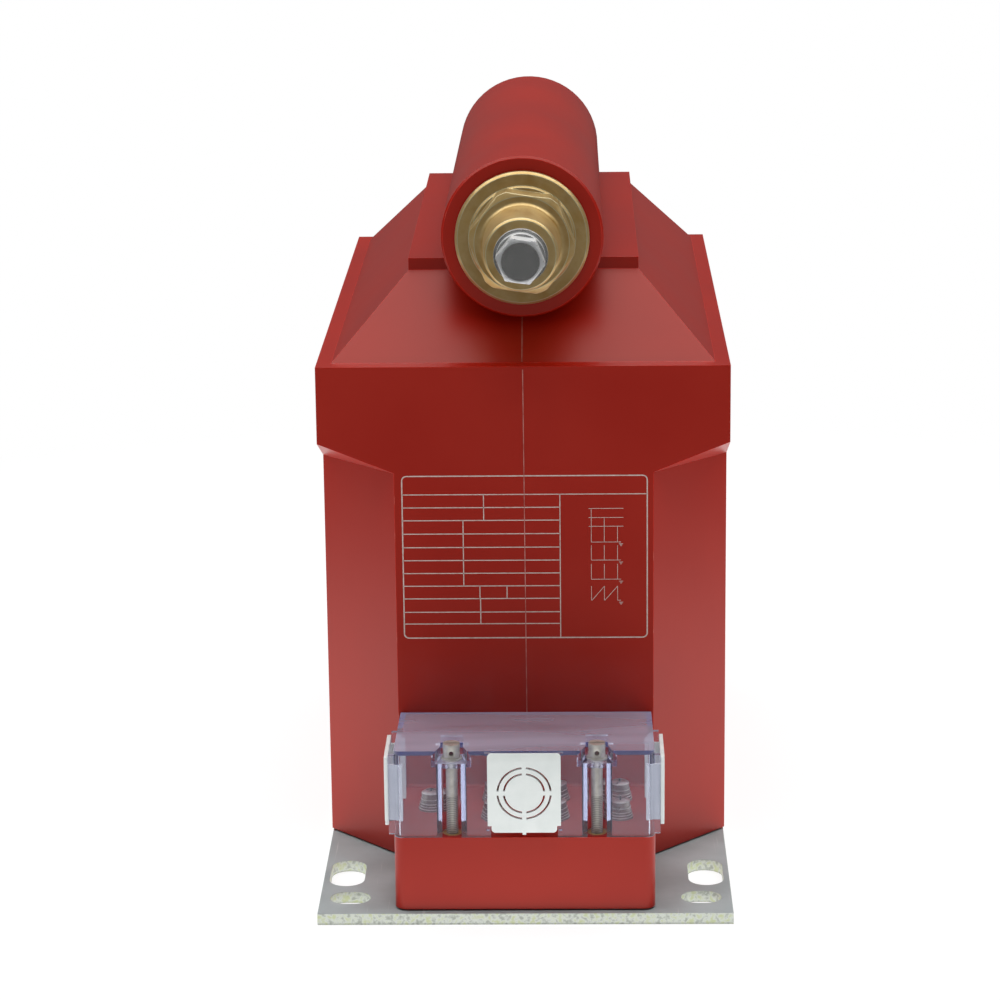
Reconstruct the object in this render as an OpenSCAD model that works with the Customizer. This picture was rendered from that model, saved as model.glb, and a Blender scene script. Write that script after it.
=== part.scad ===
// Cast resin voltage transformer, single pole, with the primary fuse in a tube on top.
// Origin: middle of the base plate's underside. The terminals face -Y and +Z is up.

/* [Base plate] */
// How far the plate's long edges stand in from the casting's sides
plate_inset = 0.5; // [0:0.5:3]
// Length of the plate, front to back
plate_l = 400; // [396:1:430]
// Thickness of the plate
plate_t = 5; // [4.5:0.5:8]
// How far the plate reaches ahead of the casting
plate_front = 67; // [66:0.5:72]
// Width of the lengthwise fixing slots
slot_w = 15; // [11:0.5:15.5]
// Length of the lengthwise fixing slots, end to end
slot_l = 30; // [20:1:31]
// Plate's side edge to the middle of a lengthwise slot
slot_side = 10; // [9.5:0.5:12]
// Casting's front face to the middle of a front slot
front_slot = 20; // [18:0.5:21]
// Plate's rear edge to the middle of a rear slot
rear_slot = 25; // [22:0.5:27]
// Width of the crosswise fixing slots at the front
cross_slot_w = 13.5; // [11:0.5:14]
// Length of the crosswise fixing slots, end to end
cross_slot_l = 17; // [15:0.5:20]
// Plate's side edge to the middle of a crosswise slot
cross_slot_side = 12.8; // [12.4:0.2:16]
// Plate's front edge to the middle of a crosswise slot
cross_slot_front = 18.2; // [16:0.2:19]

/* [Base fixings] */
// Thread diameter of the screws that hold the plate to the casting
base_bolt_d = 8; // [6:0.5:8.5]
// Head diameter of those countersunk screws
base_head_d = 16; // [14:0.5:16.5]
// Width across the flats of their key sockets
base_key_af = 5; // [4:0.5:6]
// Grip of those screws above the plate's underside
base_bolt_l = 20; // [14:1:24]
// Width across flats of the cast-in base bushes
base_bush_af = 16; // [14:0.5:20]
// Length of the base bushes
base_bush_l = 22; // [18:1:28]
// How far the bushes stand proud, which is the gap under the casting
foot_gap = 0.8; // [0.4:0.1:2]
// Middle of the casting to a base bush, sideways
base_bush_x = 60; // [56:1:62]
// Casting's front or rear face to a base bush
base_bush_y = 50; // [44:1:56]

/* [Casting] */
// Width of the casting
body_w = 175; // [165:1:190]
// Depth of the casting, front face to rear face
body_d = 308; // [304:1:315]
// Height of the shoulder above the casting's foot
shoulder_h = 218.2; // [214:1:235]
// Height of the full-width band at the outer corners
band_h = 33.2; // [20:1:45]
// How far the corner soffit drops from the outer corner to the chamfer
soffit_drop = 13; // [6:1:20]
// Corner chamfer, measured along the front
chamfer_x = 32.4; // [24:0.5:33]
// Corner chamfer, measured along the side
chamfer_y = 34.2; // [26:0.5:36]
// Flat ledge between the side faces and the roof
ledge_x = 6.2; // [3:0.2:10]
// Flat ledge between the end faces and the roof
ledge_y = 7.5; // [3:0.5:12]
// Rise of the hipped roof from the shoulder to the deck's foot
roof_rise = 32.2; // [24:1:40]
// Width of the raised deck that carries the tube
deck_w = 99.4; // [90:1:110]
// Length of the deck
deck_l = 228; // [220:1:232]
// Casting's front face to the deck's front
deck_front = 48.8; // [44:0.5:52]
// Height of the deck's upright edge
deck_h = 5.2; // [3:0.5:8]

/* [Fuse tube] */
// Outside diameter of the tube at its open end
tube_d = 69; // [64:0.5:74]
// Outside diameter of the tube at its closed end, less by the mould's draft
tube_rear_d = 67.8; // [64:0.2:72]
// Length of the tube
tube_l = 259; // [245:1:268]
// Casting's front face to the tube's front end
tube_front = 22.6; // [16:0.5:28]
// Height of the tube's axis above the deck
tube_rise = 13.5; // [10:0.5:18]
// Small bevel round both ends of the tube
tube_edge = 0.8; // [0.4:0.2:3]
// Diameter of the fuse chamber
chamber_d = 32; // [31:0.5:36]

/* [Primary fuse] */
// Diameter over the fuse's end caps
fuse_d = 26; // [22:0.5:27]
// Length of the fuse over its end caps
fuse_l = 195; // [185:1:197]
// Length of each end cap
fuse_cap_l = 14; // [10:1:20]
// Wall of the end caps
fuse_cap_wall = 1; // [0.6:0.1:2]
// Running clearance round the fuse in its sockets
fuse_slack = 0.15; // [0.1:0.05:0.4]
// Compressed length of the contact spring
spring_l = 16; // [12:1:18]
// Outside diameter of the contact spring
spring_d = 19; // [14:0.5:20]
// Wire diameter of the contact spring
spring_wire = 1.8; // [1:0.1:2.2]
// Open turns of the contact spring
spring_turns = 3; // [2:1:4]
// Outside diameter of the rear contact
contact_d = 36; // [33:0.5:40]
// Depth of the rear contact's socket
contact_depth = 14; // [10:1:16]
// Wall behind that socket
contact_back = 7; // [4:1:9]
// Diameter of the rear contact's lug
lug_d = 8; // [6:0.5:10]
// Length of the lug below the contact
lug_l = 8; // [5:1:12]

/* [Screw plug and ring] */
// Outside diameter of the cast-in ring
ring_d = 50; // [47:0.5:52]
// Length of the cast-in ring
ring_l = 20; // [14:1:24]
// Width of the locking groove round the ring
ring_groove_w = 5; // [3:0.5:8]
// Depth of the locking groove
ring_groove = 1.5; // [0.8:0.1:2]
// Thread diameter of the plug
plug_d = 42; // [40:0.5:43]
// Length of the threaded part of the plug
plug_l = 18; // [12:1:19]
// Clearance between plug and ring
plug_slack = 0.1; // [0.05:0.05:0.3]
// Outside diameter of the sleeve behind the thread
sleeve_d = 30.6; // [29.6:0.1:30.8]
// Reach of the sleeve behind the plug's flange
sleeve_l = 34; // [28:1:38]
// Reach of the recess floor behind the plug's flange
recess_floor = 7.4; // [5:0.2:9]
// Diameter of the plug's flange
flange_d = 57; // [54:0.5:60]
// Thickness of the flange
flange_t = 3.5; // [3:0.1:6]
// Bevel round the flange
flange_edge = 1.1; // [0.4:0.1:1.5]
// Width across the flats of the plug's hexagon
hex_af = 41; // [38:0.5:42]
// Diameter to which the hexagon's corners are turned
hex_corner_d = 45; // [43.5:0.1:46]
// Diameter of the flat pad on the hexagon's front
hex_pad_d = 40; // [37:0.5:40.5]
// Slope of the turned face round that pad
hex_slope = 0.6; // [0.3:0.05:0.8]
// Height of the hexagon
hex_h = 12; // [6:0.5:15]
// Diameter of the collar turned behind the hexagon
collar_d = 45.4; // [43:0.2:48]
// Height of that collar
collar_h = 0.9; // [0.5:0.1:1.5]
// Diameter at the root of the terminal boss
boss_root_d = 32.6; // [31:0.2:34]
// Diameter at the front of the terminal boss
boss_d = 30.8; // [27:0.2:31.4]
// Length of the terminal boss
boss_l = 25.5; // [20:0.5:32]
// Fillet at the root of the boss
boss_fillet = 2.6; // [1:0.2:3]
// Bevel at the front of the boss
boss_edge = 0.9; // [0.4:0.1:2]
// Turn of the tightened plug's hexagon
hex_turn = -8.3; // [-30:0.1:30]
// Cord diameter of the sealing ring
seal_cord = 2; // [1.4:0.1:2.2]
// Mean diameter of the sealing ring
seal_d = 46; // [44.6:0.2:47]

/* [High-voltage terminal] */
// Thread diameter of the bolt
hv_d = 12; // [8:1:14]
// Width across the flats of the bolt head
hv_af = 18; // [16:0.5:20]
// Diameter of the flat pad on the bolt head
hv_pad_d = 15.8; // [14:0.2:17.6]
// Diameter of its turned corners, as a share of the width across flats
hv_corner = 1.14; // [1.1:0.01:1.15]
// Slope of the turned face round the pad
hv_slope = 0.5; // [0.3:0.05:0.7]
// Height of the bolt head
hv_head_h = 8; // [5:0.5:9]
// Length of the bolt under its head
hv_l = 28; // [22:1:30]
// Depth of the tapped hole
hv_hole = 24; // [23:1:28]
// Outside diameter of the plain washer
hv_washer_d = 22.6; // [20:0.2:24]
// Thickness of the plain washer
hv_washer_t = 2.7; // [1.5:0.1:3]
// Outside diameter of the spring washer
hv_spring_d = 20.2; // [18:0.2:21.6]
// Thickness of the spring washer
hv_spring_t = 4.4; // [2:0.1:5]

/* [Terminal pedestal] */
// Width of the pedestal
ped_w = 109; // [106:1:116]
// How far the pedestal reaches ahead of the casting
ped_l = 64; // [62:0.5:65]
// Height of the pedestal above the casting's foot
ped_h = 31.8; // [30:0.5:40]
// Radius of the pedestal's upright corners
ped_r = 5; // [2:0.5:9]
// Fillet where the pedestal's top meets the casting
ped_fillet = 1.5; // [0.8:0.1:3]

/* [Secondary terminals] */
// Pitch of the terminals, side to side
term_pitch_x = 26.8; // [26:0.1:27.6]
// Pitch of the terminals, front to back
term_pitch_y = 22.5; // [20:0.5:28]
// Casting's front face to the middle of the two rows
term_mid = 27.6; // [25:0.2:30]
// Outside diameter of the cast-in terminal bushes
term_bush_d = 8; // [7:0.2:9]
// Depth of the terminal bushes in the resin
term_bush_l = 15; // [12:1:16]
// Diameter of their collars
term_collar_d = 10.8; // [10:0.1:12]
// Height of the collars above the resin
term_collar_h = 1; // [0.6:0.1:2]
// Thread diameter of the terminal screws
term_d = 5; // [4:0.5:6]
// Diameter of their pan heads
term_head_d = 8.2; // [7.6:0.1:10]
// Height of the pan heads
term_head_h = 3.8; // [3:0.1:5]
// Length of the terminal screws under the head
term_l = 12; // [8:1:14]
// Outside diameter of the plain washers
term_washer_d = 10.2; // [9.4:0.1:11]
// Thickness of the plain washers
term_washer_t = 1.1; // [0.8:0.1:1.6]
// Outside diameter of the washers that clamp the wires
term_clamp_d = 9.8; // [9:0.1:10.8]
// Thickness of the clamping washers
term_clamp_t = 1.1; // [0.8:0.1:1.6]
// Outside diameter of the spring washers
term_spring_d = 9; // [8:0.1:9.4]
// Thickness of the spring washers
term_spring_t = 1.8; // [1:0.1:2]
// Width of the gap in a spring washer
washer_gap = 1; // [0.6:0.1:1.6]
// Clearance round every screw in its hole
screw_slack = 0.1; // [0.05:0.05:0.3]

/* [Terminal cover] */
// How far the cover stands in from the pedestal's sides
cover_inset = 0.4; // [0.2:0.1:1]
// Gap between the cover and the casting's front face
cover_gap = 0.4; // [0.2:0.1:2]
// Wall of the clear cover
cover_wall = 2.2; // [1.6:0.1:2.4]
// Height of the cover at its front
cover_front_h = 37.9; // [36:0.5:44]
// Height of the cover at the casting
cover_rear_h = 33.7; // [33:0.5:40]
// Radius of the cover's upright front corners
cover_r = 2.8; // [2.5:0.1:3.5]
// Half the distance between the two cover screws
cover_screw_x = 30.2; // [29.8:0.2:32]
// Front of the cover to the screws
cover_screw_in = 6.4; // [6:0.2:7]
// Width of the channels in which the screws run
channel_w = 8; // [7:0.2:8.6]
// Width of the screw pockets at the front
pocket_w = 13.2; // [12:0.2:14]
// Width of the screw pockets at the back
pocket_rear_w = 9.4; // [9:0.2:11]
// Depth of the screw pockets from the front
pocket_l = 12.4; // [11.6:0.2:12.8]
// Height of the pocket floor above the pedestal
pocket_floor = 32.4; // [28:0.4:33]
// Thickness of the pocket floor
pocket_floor_t = 2; // [1.6:0.2:3]
// Height of the hood behind each screw head
hood_h = 2.2; // [1:0.2:4]

/* [Cover screws] */
// Thread diameter of the cover screws
cover_screw_d = 5; // [4:0.5:5.5]
// Diameter of their tall sealing heads
cover_head_d = 7.2; // [6.6:0.1:8]
// Height of the heads
cover_head_h = 6; // [5:0.2:8]
// Diameter of the sealing holes across each head
seal_hole_d = 2; // [1:0.1:2.4]
// Width of the driver slot
driver_slot = 1.2; // [0.8:0.1:1.6]
// Depth of the driver slot
driver_depth = 1.6; // [1:0.1:2]
// How far the screws reach into the pedestal
cover_screw_grip = 9; // [6:0.5:11]
// Outside diameter of the cover screw washers
cover_washer_d = 8.8; // [8:0.1:9]
// Thickness of the cover screw washers
cover_washer_t = 1; // [0.6:0.1:1.4]
// Outside diameter of the bushes for the cover screws
cover_bush_d = 8; // [7:0.2:9]
// Length of the bushes for the cover screws
cover_bush_l = 14; // [12:1:16]

/* [Cable entries] */
// Width of the three cable openings
entry_w = 27.8; // [25:0.2:28]
// Casting's front face to the middle of a side opening
entry_mid = 46; // [44:0.2:46]
// Width and standing height of the guide rails
rail = 2.4; // [1.6:0.1:2.4]
// Height of the front rails' rounded feet above the pedestal
rail_foot = 5; // [3:0.2:8]
// Height of the side rails' rounded feet above the pedestal
side_rail_foot = 1.8; // [1.4:0.2:6]
// Drop of the rails' tops below the cover's top edge
rail_drop = 0.3; // [0.1:0.1:2]
// How far the entry plate laps past its opening on each side
plate_lap = 1.3; // [0.9:0.1:1.7]
// Height of the front entry plate
entry_plate_h = 34.3; // [33:0.1:36]
// Thickness of an entry plate's face
entry_plate_t = 1.6; // [1.2:0.1:2]
// Sliding clearance of the entry plates
entry_slack = 0.1; // [0.1:0.05:0.3]
// Height of the narrow tongue at the foot of an entry plate
tongue_h = 2.9; // [2:0.1:4]
// Width of that tongue
tongue_w = 27.2; // [24:0.2:27.6]
// Width of the small nib under the tongue
nib_w = 1.5; // [1:0.1:3]
// Height of the nib
nib_h = 0.9; // [0.4:0.1:1.2]
// Radius of the entry plates' corners
entry_plate_r = 1.7; // [1:0.1:3]
// Height of the band that leans back at its top, which the side plates lack
lean_h = 3.5; // [2:0.1:5]
// How far that band leans back
lean = 0.7; // [0.3:0.1:0.9]
// Height of the webs and rear lips that hold the front plate in its opening
web_h = 27.9; // [24:0.1:29]
// Thickness of the webs and lips
lip_t = 1.2; // [0.8:0.1:1.6]
// Radius of the outer knock-out ring
ring_outer = 11; // [9.5:0.1:12]
// Radius of the inner knock-out ring
ring_inner = 8.35; // [6:0.1:9]
// Width of the knock-out slots
ring_slot = 0.8; // [0.5:0.1:1]
// Width of the bridges across those slots
ring_bridge = 1.8; // [1:0.1:3]
// Height of the rings' middle above the entry plate's foot
ring_mid = 17.2; // [15:0.2:19]
// Foot of the front entry plate above the pedestal
front_entry_z = 3.6; // [0.4:0.1:4]
// Foot of the side entry plates above the pedestal
side_entry_z = 3.6; // [0.4:0.1:4]

/* [Active part] */
// Width of the core, side to side
core_w = 42; // [36:1:44]
// Breadth of the core's limbs and yokes
limb = 42; // [36:1:42]
// Length of the core window
window_l = 134; // [130:1:140]
// Height of the core window
window_h = 66; // [62:1:70]
// Outer corner radius of the core
core_r = 18; // [10:1:24]
// Casting's front face to the middle of the core
core_mid = 160; // [156:1:164]
// Resin under the core
core_sole = 10; // [7:1:14]
// Width of the steel strap round the core
band_w = 16; // [10:1:20]
// Thickness of the strap
band_t = 0.8; // [0.4:0.1:1.2]
// Inner radius of the winding tube
former_r = 30.4; // [30.2:0.2:32]
// Wall of the winding tube
former_t = 2; // [1.5:0.5:3]
// Length of the winding tube
former_l = 116; // [112:1:122]
// Build of each secondary winding
secondary_t = 3; // [2.8:0.2:4]
// Length of the secondary windings
secondary_l = 100; // [90:1:104]
// Build of the insulation barrier
barrier_t = 3.5; // [2:0.5:5]
// Length of the barrier
barrier_l = 108; // [105:1:111]
// Build of the primary winding
primary_t = 22; // [16:1:23]
// Length of the primary winding
primary_l = 96; // [90:1:100]
// Diameter of the leads
lead_d = 2.4; // [1.6:0.2:2.6]
// Height of the lower leads above the casting's foot
lead_low_rise = 6; // [4:0.5:7]
// Height of the upper leads above the casting's foot
lead_high_rise = 11; // [10:0.5:13]
// Casting's front face to the drop of the upper leads
lead_front_in = 30; // [24:1:32]
// Casting's front face to the drop of the lower leads
lead_rear_in = 38; // [36:1:40]

/* [Hidden] */
$fn = 48;
// Overrun of a cutter past the face that it opens
over = 1;

// Levels and planes, from the underside and the plate's middle
face_y = plate_front - plate_l / 2;
foot_z = plate_t + foot_gap;
shoulder_z = foot_z + shoulder_h;
roof_z = shoulder_z + roof_rise;
deck_z = roof_z + deck_h;
tube_z = deck_z + tube_rise;
tube_y = face_y + tube_front;
ped_y = face_y - ped_l;
ped_z = foot_z + ped_h;
body_mid = face_y + body_d / 2;
plate_w = body_w - 2 * plate_inset;

// Corner cut: outward distance of the outer corner from the chamfer, and its turn
chamfer_l = norm([chamfer_x, chamfer_y]);
corner_out = chamfer_x * chamfer_y / chamfer_l;
corner_turn = atan2(-chamfer_x, chamfer_y);
corner_h = shoulder_h - band_h;
soffit_slope = soffit_drop / corner_out;

// Active part
core_l = window_l + 2 * limb;
core_h = window_h + 2 * limb;
core_y = face_y + core_mid;
core_z = foot_z + core_sole + core_h / 2;
coil_z = core_z + (window_h + limb) / 2;
secondary_r = former_r + former_t;
barrier_r = secondary_r + 3 * secondary_t;
primary_r = barrier_r + barrier_t;
coil_r = primary_r + primary_t;

// Planes of the plug and of the terminal, along the tube's axis
flange_y = tube_y - flange_t;
hex_y = flange_y - hex_h;
boss_y = hex_y - boss_l;
hv_spring_y = boss_y - hv_washer_t;
hv_head_y = hv_spring_y - hv_spring_t;
fuse_y = tube_y + recess_floor + spring_l;
contact_y = fuse_y + fuse_l - contact_depth;

// Secondary terminals: the neutral alone in the left column, then three pairs
neutral_at = [-1.5 * term_pitch_x, face_y - term_mid];
pair_at = [for (i = [-0.5, 0.5, 1.5], j = [1, -1])
    [i * term_pitch_x, face_y - term_mid + j * term_pitch_y / 2]];
term_at = concat([neutral_at], pair_at);
term_bush_z = ped_z - term_bush_l;
term_washer_z = ped_z + term_collar_h;
term_clamp_z = term_washer_z + term_washer_t;
term_spring_z = term_clamp_z + term_clamp_t;
term_head_z = term_spring_z + term_spring_t;

// Cover
cover_w = ped_w - 2 * cover_inset;
cover_l = ped_l - cover_gap;
pocket_z = ped_z + pocket_floor;
cover_screw_y = ped_y + cover_screw_in;
cover_screw_at = [for (s = [-1, 1]) [s * cover_screw_x, cover_screw_y]];
entry_y = face_y - entry_mid;
entry_face_y = rail + entry_slack;

function cover_top(ahead) =
    cover_rear_h + (cover_front_h - cover_rear_h) * (ahead - cover_gap) / cover_l;

// Leads
lead_low = foot_z + lead_low_rise;
lead_high = foot_z + lead_high_rise;
lead_rear = face_y + lead_rear_in;
lead_front = face_y + lead_front_in;

// Small helpers

module place(points, z = 0) {
    for (p = points) translate([p[0], p[1], z]) children();
}

module along_y(y, z) {
    translate([0, y, z]) rotate([-90, 0, 0]) children();
}

module side_profile(width) {
    rotate([90, 0, 90]) translate([0, 0, -width / 2]) linear_extrude(width) children();
}

module rounded(w, h, r) {
    square([w - 2 * r, h], center = true);
    square([w, h - 2 * r], center = true);
    for (x = [-1, 1], y = [-1, 1]) translate([x * (w / 2 - r), y * (h / 2 - r)]) circle(r);
}

module slot(l, w) {
    square([l - w, w], center = true);
    for (s = [-1, 1]) translate([s * (l - w) / 2, 0]) circle(d = w);
}

module ring_solid(outer, inner, h) {
    difference() {
        cylinder(d = outer, h = h);
        translate([0, 0, -over]) cylinder(d = inner, h = h + 2 * over);
    }
}

module spring_washer(outer, inner, h) {
    difference() {
        ring_solid(outer, inner, h);
        rotate(45) translate([0, -washer_gap / 2, -over]) cube([outer, washer_gap, h + 2 * over]);
    }
}

module hexagon(af, h) {
    cylinder(r = af / sqrt(3), h = h, $fn = 6);
}

module rod(p, q) {
    v = q - p;
    reach = norm(v);
    translate(p) rotate([0, acos(v[2] / reach), atan2(v[1], v[0])]) cylinder(d = lead_d, h = reach);
}

module wire(points) {
    for (i = [0 : len(points) - 2]) rod(points[i], points[i + 1]);
    for (i = [1 : len(points) - 2]) translate(points[i]) sphere(d = 1.15 * lead_d);
}

// Base plate and its fixings

module base_plate() {
    color("silver") difference() {
        linear_extrude(plate_t) difference() {
            square([plate_w, plate_l], center = true);
            for (s = [-1, 1]) {
                translate([s * (plate_w / 2 - slot_side), face_y - front_slot])
                    rotate(90) slot(slot_l, slot_w);
                translate([s * (plate_w / 2 - slot_side), plate_l / 2 - rear_slot])
                    rotate(90) slot(slot_l, slot_w);
                translate([s * (plate_w / 2 - cross_slot_side), cross_slot_front - plate_l / 2])
                    slot(cross_slot_l, cross_slot_w);
            }
        }
        place(base_bush_at()) base_bolt(base_bolt_d + 4 * screw_slack);
    }
}

function base_bush_at() = [for (s = [-1, 1], e = [base_bush_y, body_d - base_bush_y])
    [s * base_bush_x, face_y + e]];

module base_bolt(shank) {
    head_h = (base_head_d - base_bolt_d) / 2;
    cylinder(d1 = base_head_d, d2 = base_bolt_d, h = head_h);
    cylinder(d = shank, h = base_bolt_l);
}

module base_bolts() {
    color("gray") place(base_bush_at()) difference() {
        base_bolt(base_bolt_d);
        translate([0, 0, -over]) hexagon(base_key_af, over + plate_t / 2);
    }
}

module base_bush() {
    rotate(30) hexagon(base_bush_af, base_bush_l);
}

module base_inserts() {
    color("darkgray") place(base_bush_at(), plate_t) difference() {
        base_bush();
        translate([0, 0, -over]) cylinder(d = base_bolt_d + screw_slack, h = base_bush_l - over);
    }
}

// Resin casting

module corner_cut() {
    // The chamfer stands upright and ends under a sloping three-cornered soffit
    reach = corner_out + chamfer_x;
    translate([body_w / 2 + chamfer_x / 2, face_y + chamfer_y * 1.5, foot_z])
        rotate(corner_turn) rotate([90, 0, 0]) linear_extrude(2 * chamfer_l)
            polygon([[0, -over], [0, corner_h - soffit_drop],
                [reach, corner_h - soffit_drop + reach * soffit_slope], [reach, -over]]);
}

module casting_block() {
    half = body_w / 2;
    eave = half - ledge_x;
    deck = deck_w / 2;
    deck_rear = deck_front + deck_l;
    difference() {
        intersection() {
            translate([0, face_y + body_d, 0]) rotate([90, 0, 0]) linear_extrude(body_d)
                polygon([[-half, foot_z], [half, foot_z], [half, shoulder_z], [eave, shoulder_z],
                    [deck, roof_z], [deck, deck_z], [-deck, deck_z], [-deck, roof_z],
                    [-eave, shoulder_z], [-half, shoulder_z]]);
            translate([0, face_y, 0]) side_profile(body_w)
                polygon([[0, foot_z], [body_d, foot_z], [body_d, shoulder_z],
                    [body_d - ledge_y, shoulder_z], [deck_rear, roof_z], [deck_rear, deck_z],
                    [deck_front, deck_z], [deck_front, roof_z], [ledge_y, shoulder_z],
                    [0, shoulder_z]]);
        }
        for (x = [0, 1], y = [0, 1])
            translate([0, body_mid, 0]) mirror([x, 0, 0]) mirror([0, y, 0])
                translate([0, -body_mid, 0]) corner_cut();
    }
}

module fuse_tube() {
    r = tube_d / 2;
    rear = tube_rear_d / 2;
    along_y(tube_y, tube_z) rotate_extrude()
        polygon([[0, 0], [r - tube_edge, 0], [r, tube_edge], [rear, tube_l - tube_edge],
            [rear - tube_edge, tube_l], [0, tube_l]]);
}

module pedestal() {
    root = chamfer_y / 2;
    translate([0, face_y, foot_z]) linear_extrude(ped_h) {
        translate([-ped_w / 2, ped_r - ped_l]) square([ped_w, ped_l - ped_r]);
        translate([-ped_w / 2 + ped_r, -ped_l]) square([ped_w - 2 * ped_r, ped_l + root]);
        for (s = [-1, 1]) translate([s * (ped_w / 2 - ped_r), ped_r - ped_l]) circle(ped_r);
    }
    translate([0, face_y, ped_z]) side_profile(cover_w - 2 * cover_wall - over) difference() {
        translate([-ped_fillet, -over / 2]) square([ped_fillet + over / 2, ped_fillet + over / 2]);
        translate([-ped_fillet, ped_fillet]) circle(ped_fillet);
    }
}

module chamber() {
    // Open bore behind the cast-in ring, as far as the rear contact
    along_y(tube_y + ring_l - over, tube_z) cylinder(d = chamber_d, h = contact_y - tube_y - ring_l + over);
}

module resin_body() {
    color("firebrick") difference() {
        union() {
            casting_block();
            fuse_tube();
            pedestal();
        }
        chamber();
        ring_outline();
        contact_outline();
        coil_outline();
        core_outline();
        place(base_bush_at(), plate_t) base_bush();
        place(term_at) term_bush_outline();
        place(cover_screw_at, ped_z - cover_bush_l) cylinder(d = cover_bush_d, h = cover_bush_l + over);
        core_earth_lead();
        primary_lead();
        neutral_lead();
        secondary_leads();
    }
}

// Core and windings

module core_ring(grow, width) {
    along = core_l + 2 * grow;
    up = core_h + 2 * grow;
    translate([0, core_y, core_z]) side_profile(width) rounded(along, up, core_r + grow);
}

module core_outline() {
    core_ring(0, core_w);
    core_ring(band_t, band_w);
}

module iron_core() {
    color("dimgray") difference() {
        core_ring(0, core_w);
        translate([0, core_y, core_z]) side_profile(core_w + 2 * over)
            square([window_l, window_h], center = true);
    }
}

module core_band() {
    color("silver") difference() {
        core_ring(band_t, band_w);
        core_ring(0, band_w + 2 * over);
    }
}

module coil(inner, outer, length) {
    along_y(core_y - length / 2, coil_z) ring_solid(2 * outer, 2 * inner, length);
}

module coil_outline() {
    // Half section of the windings, the barrier and the tube in one
    half = [[former_r, former_l], [secondary_r, former_l], [secondary_r, secondary_l],
        [barrier_r, secondary_l], [barrier_r, barrier_l], [primary_r, barrier_l],
        [primary_r, primary_l], [coil_r, primary_l]];
    far = [for (p = half) [p[0], p[1] / 2]];
    near = [for (i = [len(half) - 1 : -1 : 0]) [half[i][0], -half[i][1] / 2]];
    along_y(core_y, coil_z) rotate_extrude() polygon(concat(far, near));
}

module winding_tube() {
    color("tan") coil(former_r, secondary_r, former_l);
}

module measuring_winding_1() {
    color("peru") coil(secondary_r, secondary_r + secondary_t, secondary_l);
}

module measuring_winding_2() {
    color("sienna") coil(secondary_r + secondary_t, secondary_r + 2 * secondary_t, secondary_l);
}

module residual_winding() {
    color("chocolate") coil(secondary_r + 2 * secondary_t, barrier_r, secondary_l);
}

module insulation_barrier() {
    color("wheat") coil(barrier_r, primary_r, barrier_l);
}

module primary_winding() {
    color("orangered") coil(primary_r, coil_r, primary_l);
}

module core_earth_lead() {
    // From the side of the core to the nearest flat of a base bush
    bush = base_bush_at()[2];
    level = foot_z + base_bush_l / 2;
    start_y = core_y - core_l / 2 + limb / 2;
    bend_x = bush[0] - base_bush_af;
    color("yellowgreen") wire([[core_w / 2, start_y, level + limb / 4],
        [bend_x, start_y, level + limb / 4], [bend_x, bush[1], level],
        [bush[0] - base_bush_af / 2, bush[1], level]]);
}

module primary_lead() {
    // From the winding's rear face to the lug under the rear contact
    start_z = coil_z + primary_r + primary_t * 0.8;
    lug_y = contact_y + contact_depth;
    color("orangered") wire([[0, core_y + primary_l / 2, start_z], [0, lug_y, start_z],
        [0, lug_y, tube_z - contact_d / 2 - lug_l]]);
}

module down_lead(start, plane, at, level) {
    // Forward to an upright plane, down across it, forward under the terminal and up to it
    wire([start, [start[0], plane, start[2]], [at[0], plane, level], [at[0], at[1], level],
        [at[0], at[1], term_bush_z]]);
}

module neutral_lead() {
    start_x = -primary_r - lead_d;
    color("black")
        down_lead([start_x, core_y - primary_l / 2, coil_z], lead_front, neutral_at, lead_high);
}

module secondary_leads() {
    // Each winding's two ends leave its front face on one side, above and below its middle
    side = [-1, 1, 1];
    angle = [20, 20, 40];
    pair = [0, 2, 1];
    color("black") for (i = [0 : 2]) {
        r = secondary_r + (i + 0.5) * secondary_t;
        x = side[i] * r * cos(angle[i]);
        dz = r * sin(angle[i]);
        y = core_y - secondary_l / 2;
        down_lead([x, y, coil_z + dz], lead_front, pair_at[2 * pair[i]], lead_high);
        down_lead([x, y, coil_z - dz], lead_rear, pair_at[2 * pair[i] + 1], lead_low);
    }
}

// Fuse and its contacts

module contact_outline() {
    body_l = contact_depth + contact_back;
    along_y(contact_y, tube_z) cylinder(d = contact_d, h = body_l);
    translate([0, contact_y + contact_depth, tube_z - contact_d / 2 - lug_l])
        cylinder(d = lug_d, h = contact_d / 2);
}

module rear_contact() {
    color("goldenrod") difference() {
        contact_outline();
        along_y(contact_y - over, tube_z) cylinder(d = fuse_d + 2 * fuse_slack, h = contact_depth + over);
    }
}

module ring_outline() {
    r = ring_d / 2;
    groove_start = (ring_l - ring_groove_w) / 2;
    along_y(tube_y, tube_z) rotate_extrude()
        polygon([[0, 0], [r, 0], [r, groove_start], [r - ring_groove, groove_start],
            [r - ring_groove, groove_start + ring_groove_w], [r, groove_start + ring_groove_w],
            [r, ring_l], [0, ring_l]]);
}

module cap_ring() {
    color("goldenrod") difference() {
        ring_outline();
        along_y(tube_y - over, tube_z) cylinder(d = plug_d + 2 * plug_slack, h = ring_l + 2 * over);
    }
}

module fuse_barrel() {
    inset = fuse_cap_wall;
    color("ivory") along_y(fuse_y + inset, tube_z)
        cylinder(d = fuse_d - 2 * fuse_cap_wall, h = fuse_l - 2 * inset);
}

module fuse_end_caps() {
    color("silver") for (e = [0, 1]) along_y(fuse_y + fuse_l / 2, tube_z)
        mirror([0, 0, e]) translate([0, 0, fuse_l / 2 - fuse_cap_l]) difference() {
            cylinder(d = fuse_d, h = fuse_cap_l);
            translate([0, 0, -over])
                cylinder(d = fuse_d - 2 * fuse_cap_wall, h = fuse_cap_l - fuse_cap_wall + over);
        }
}

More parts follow.
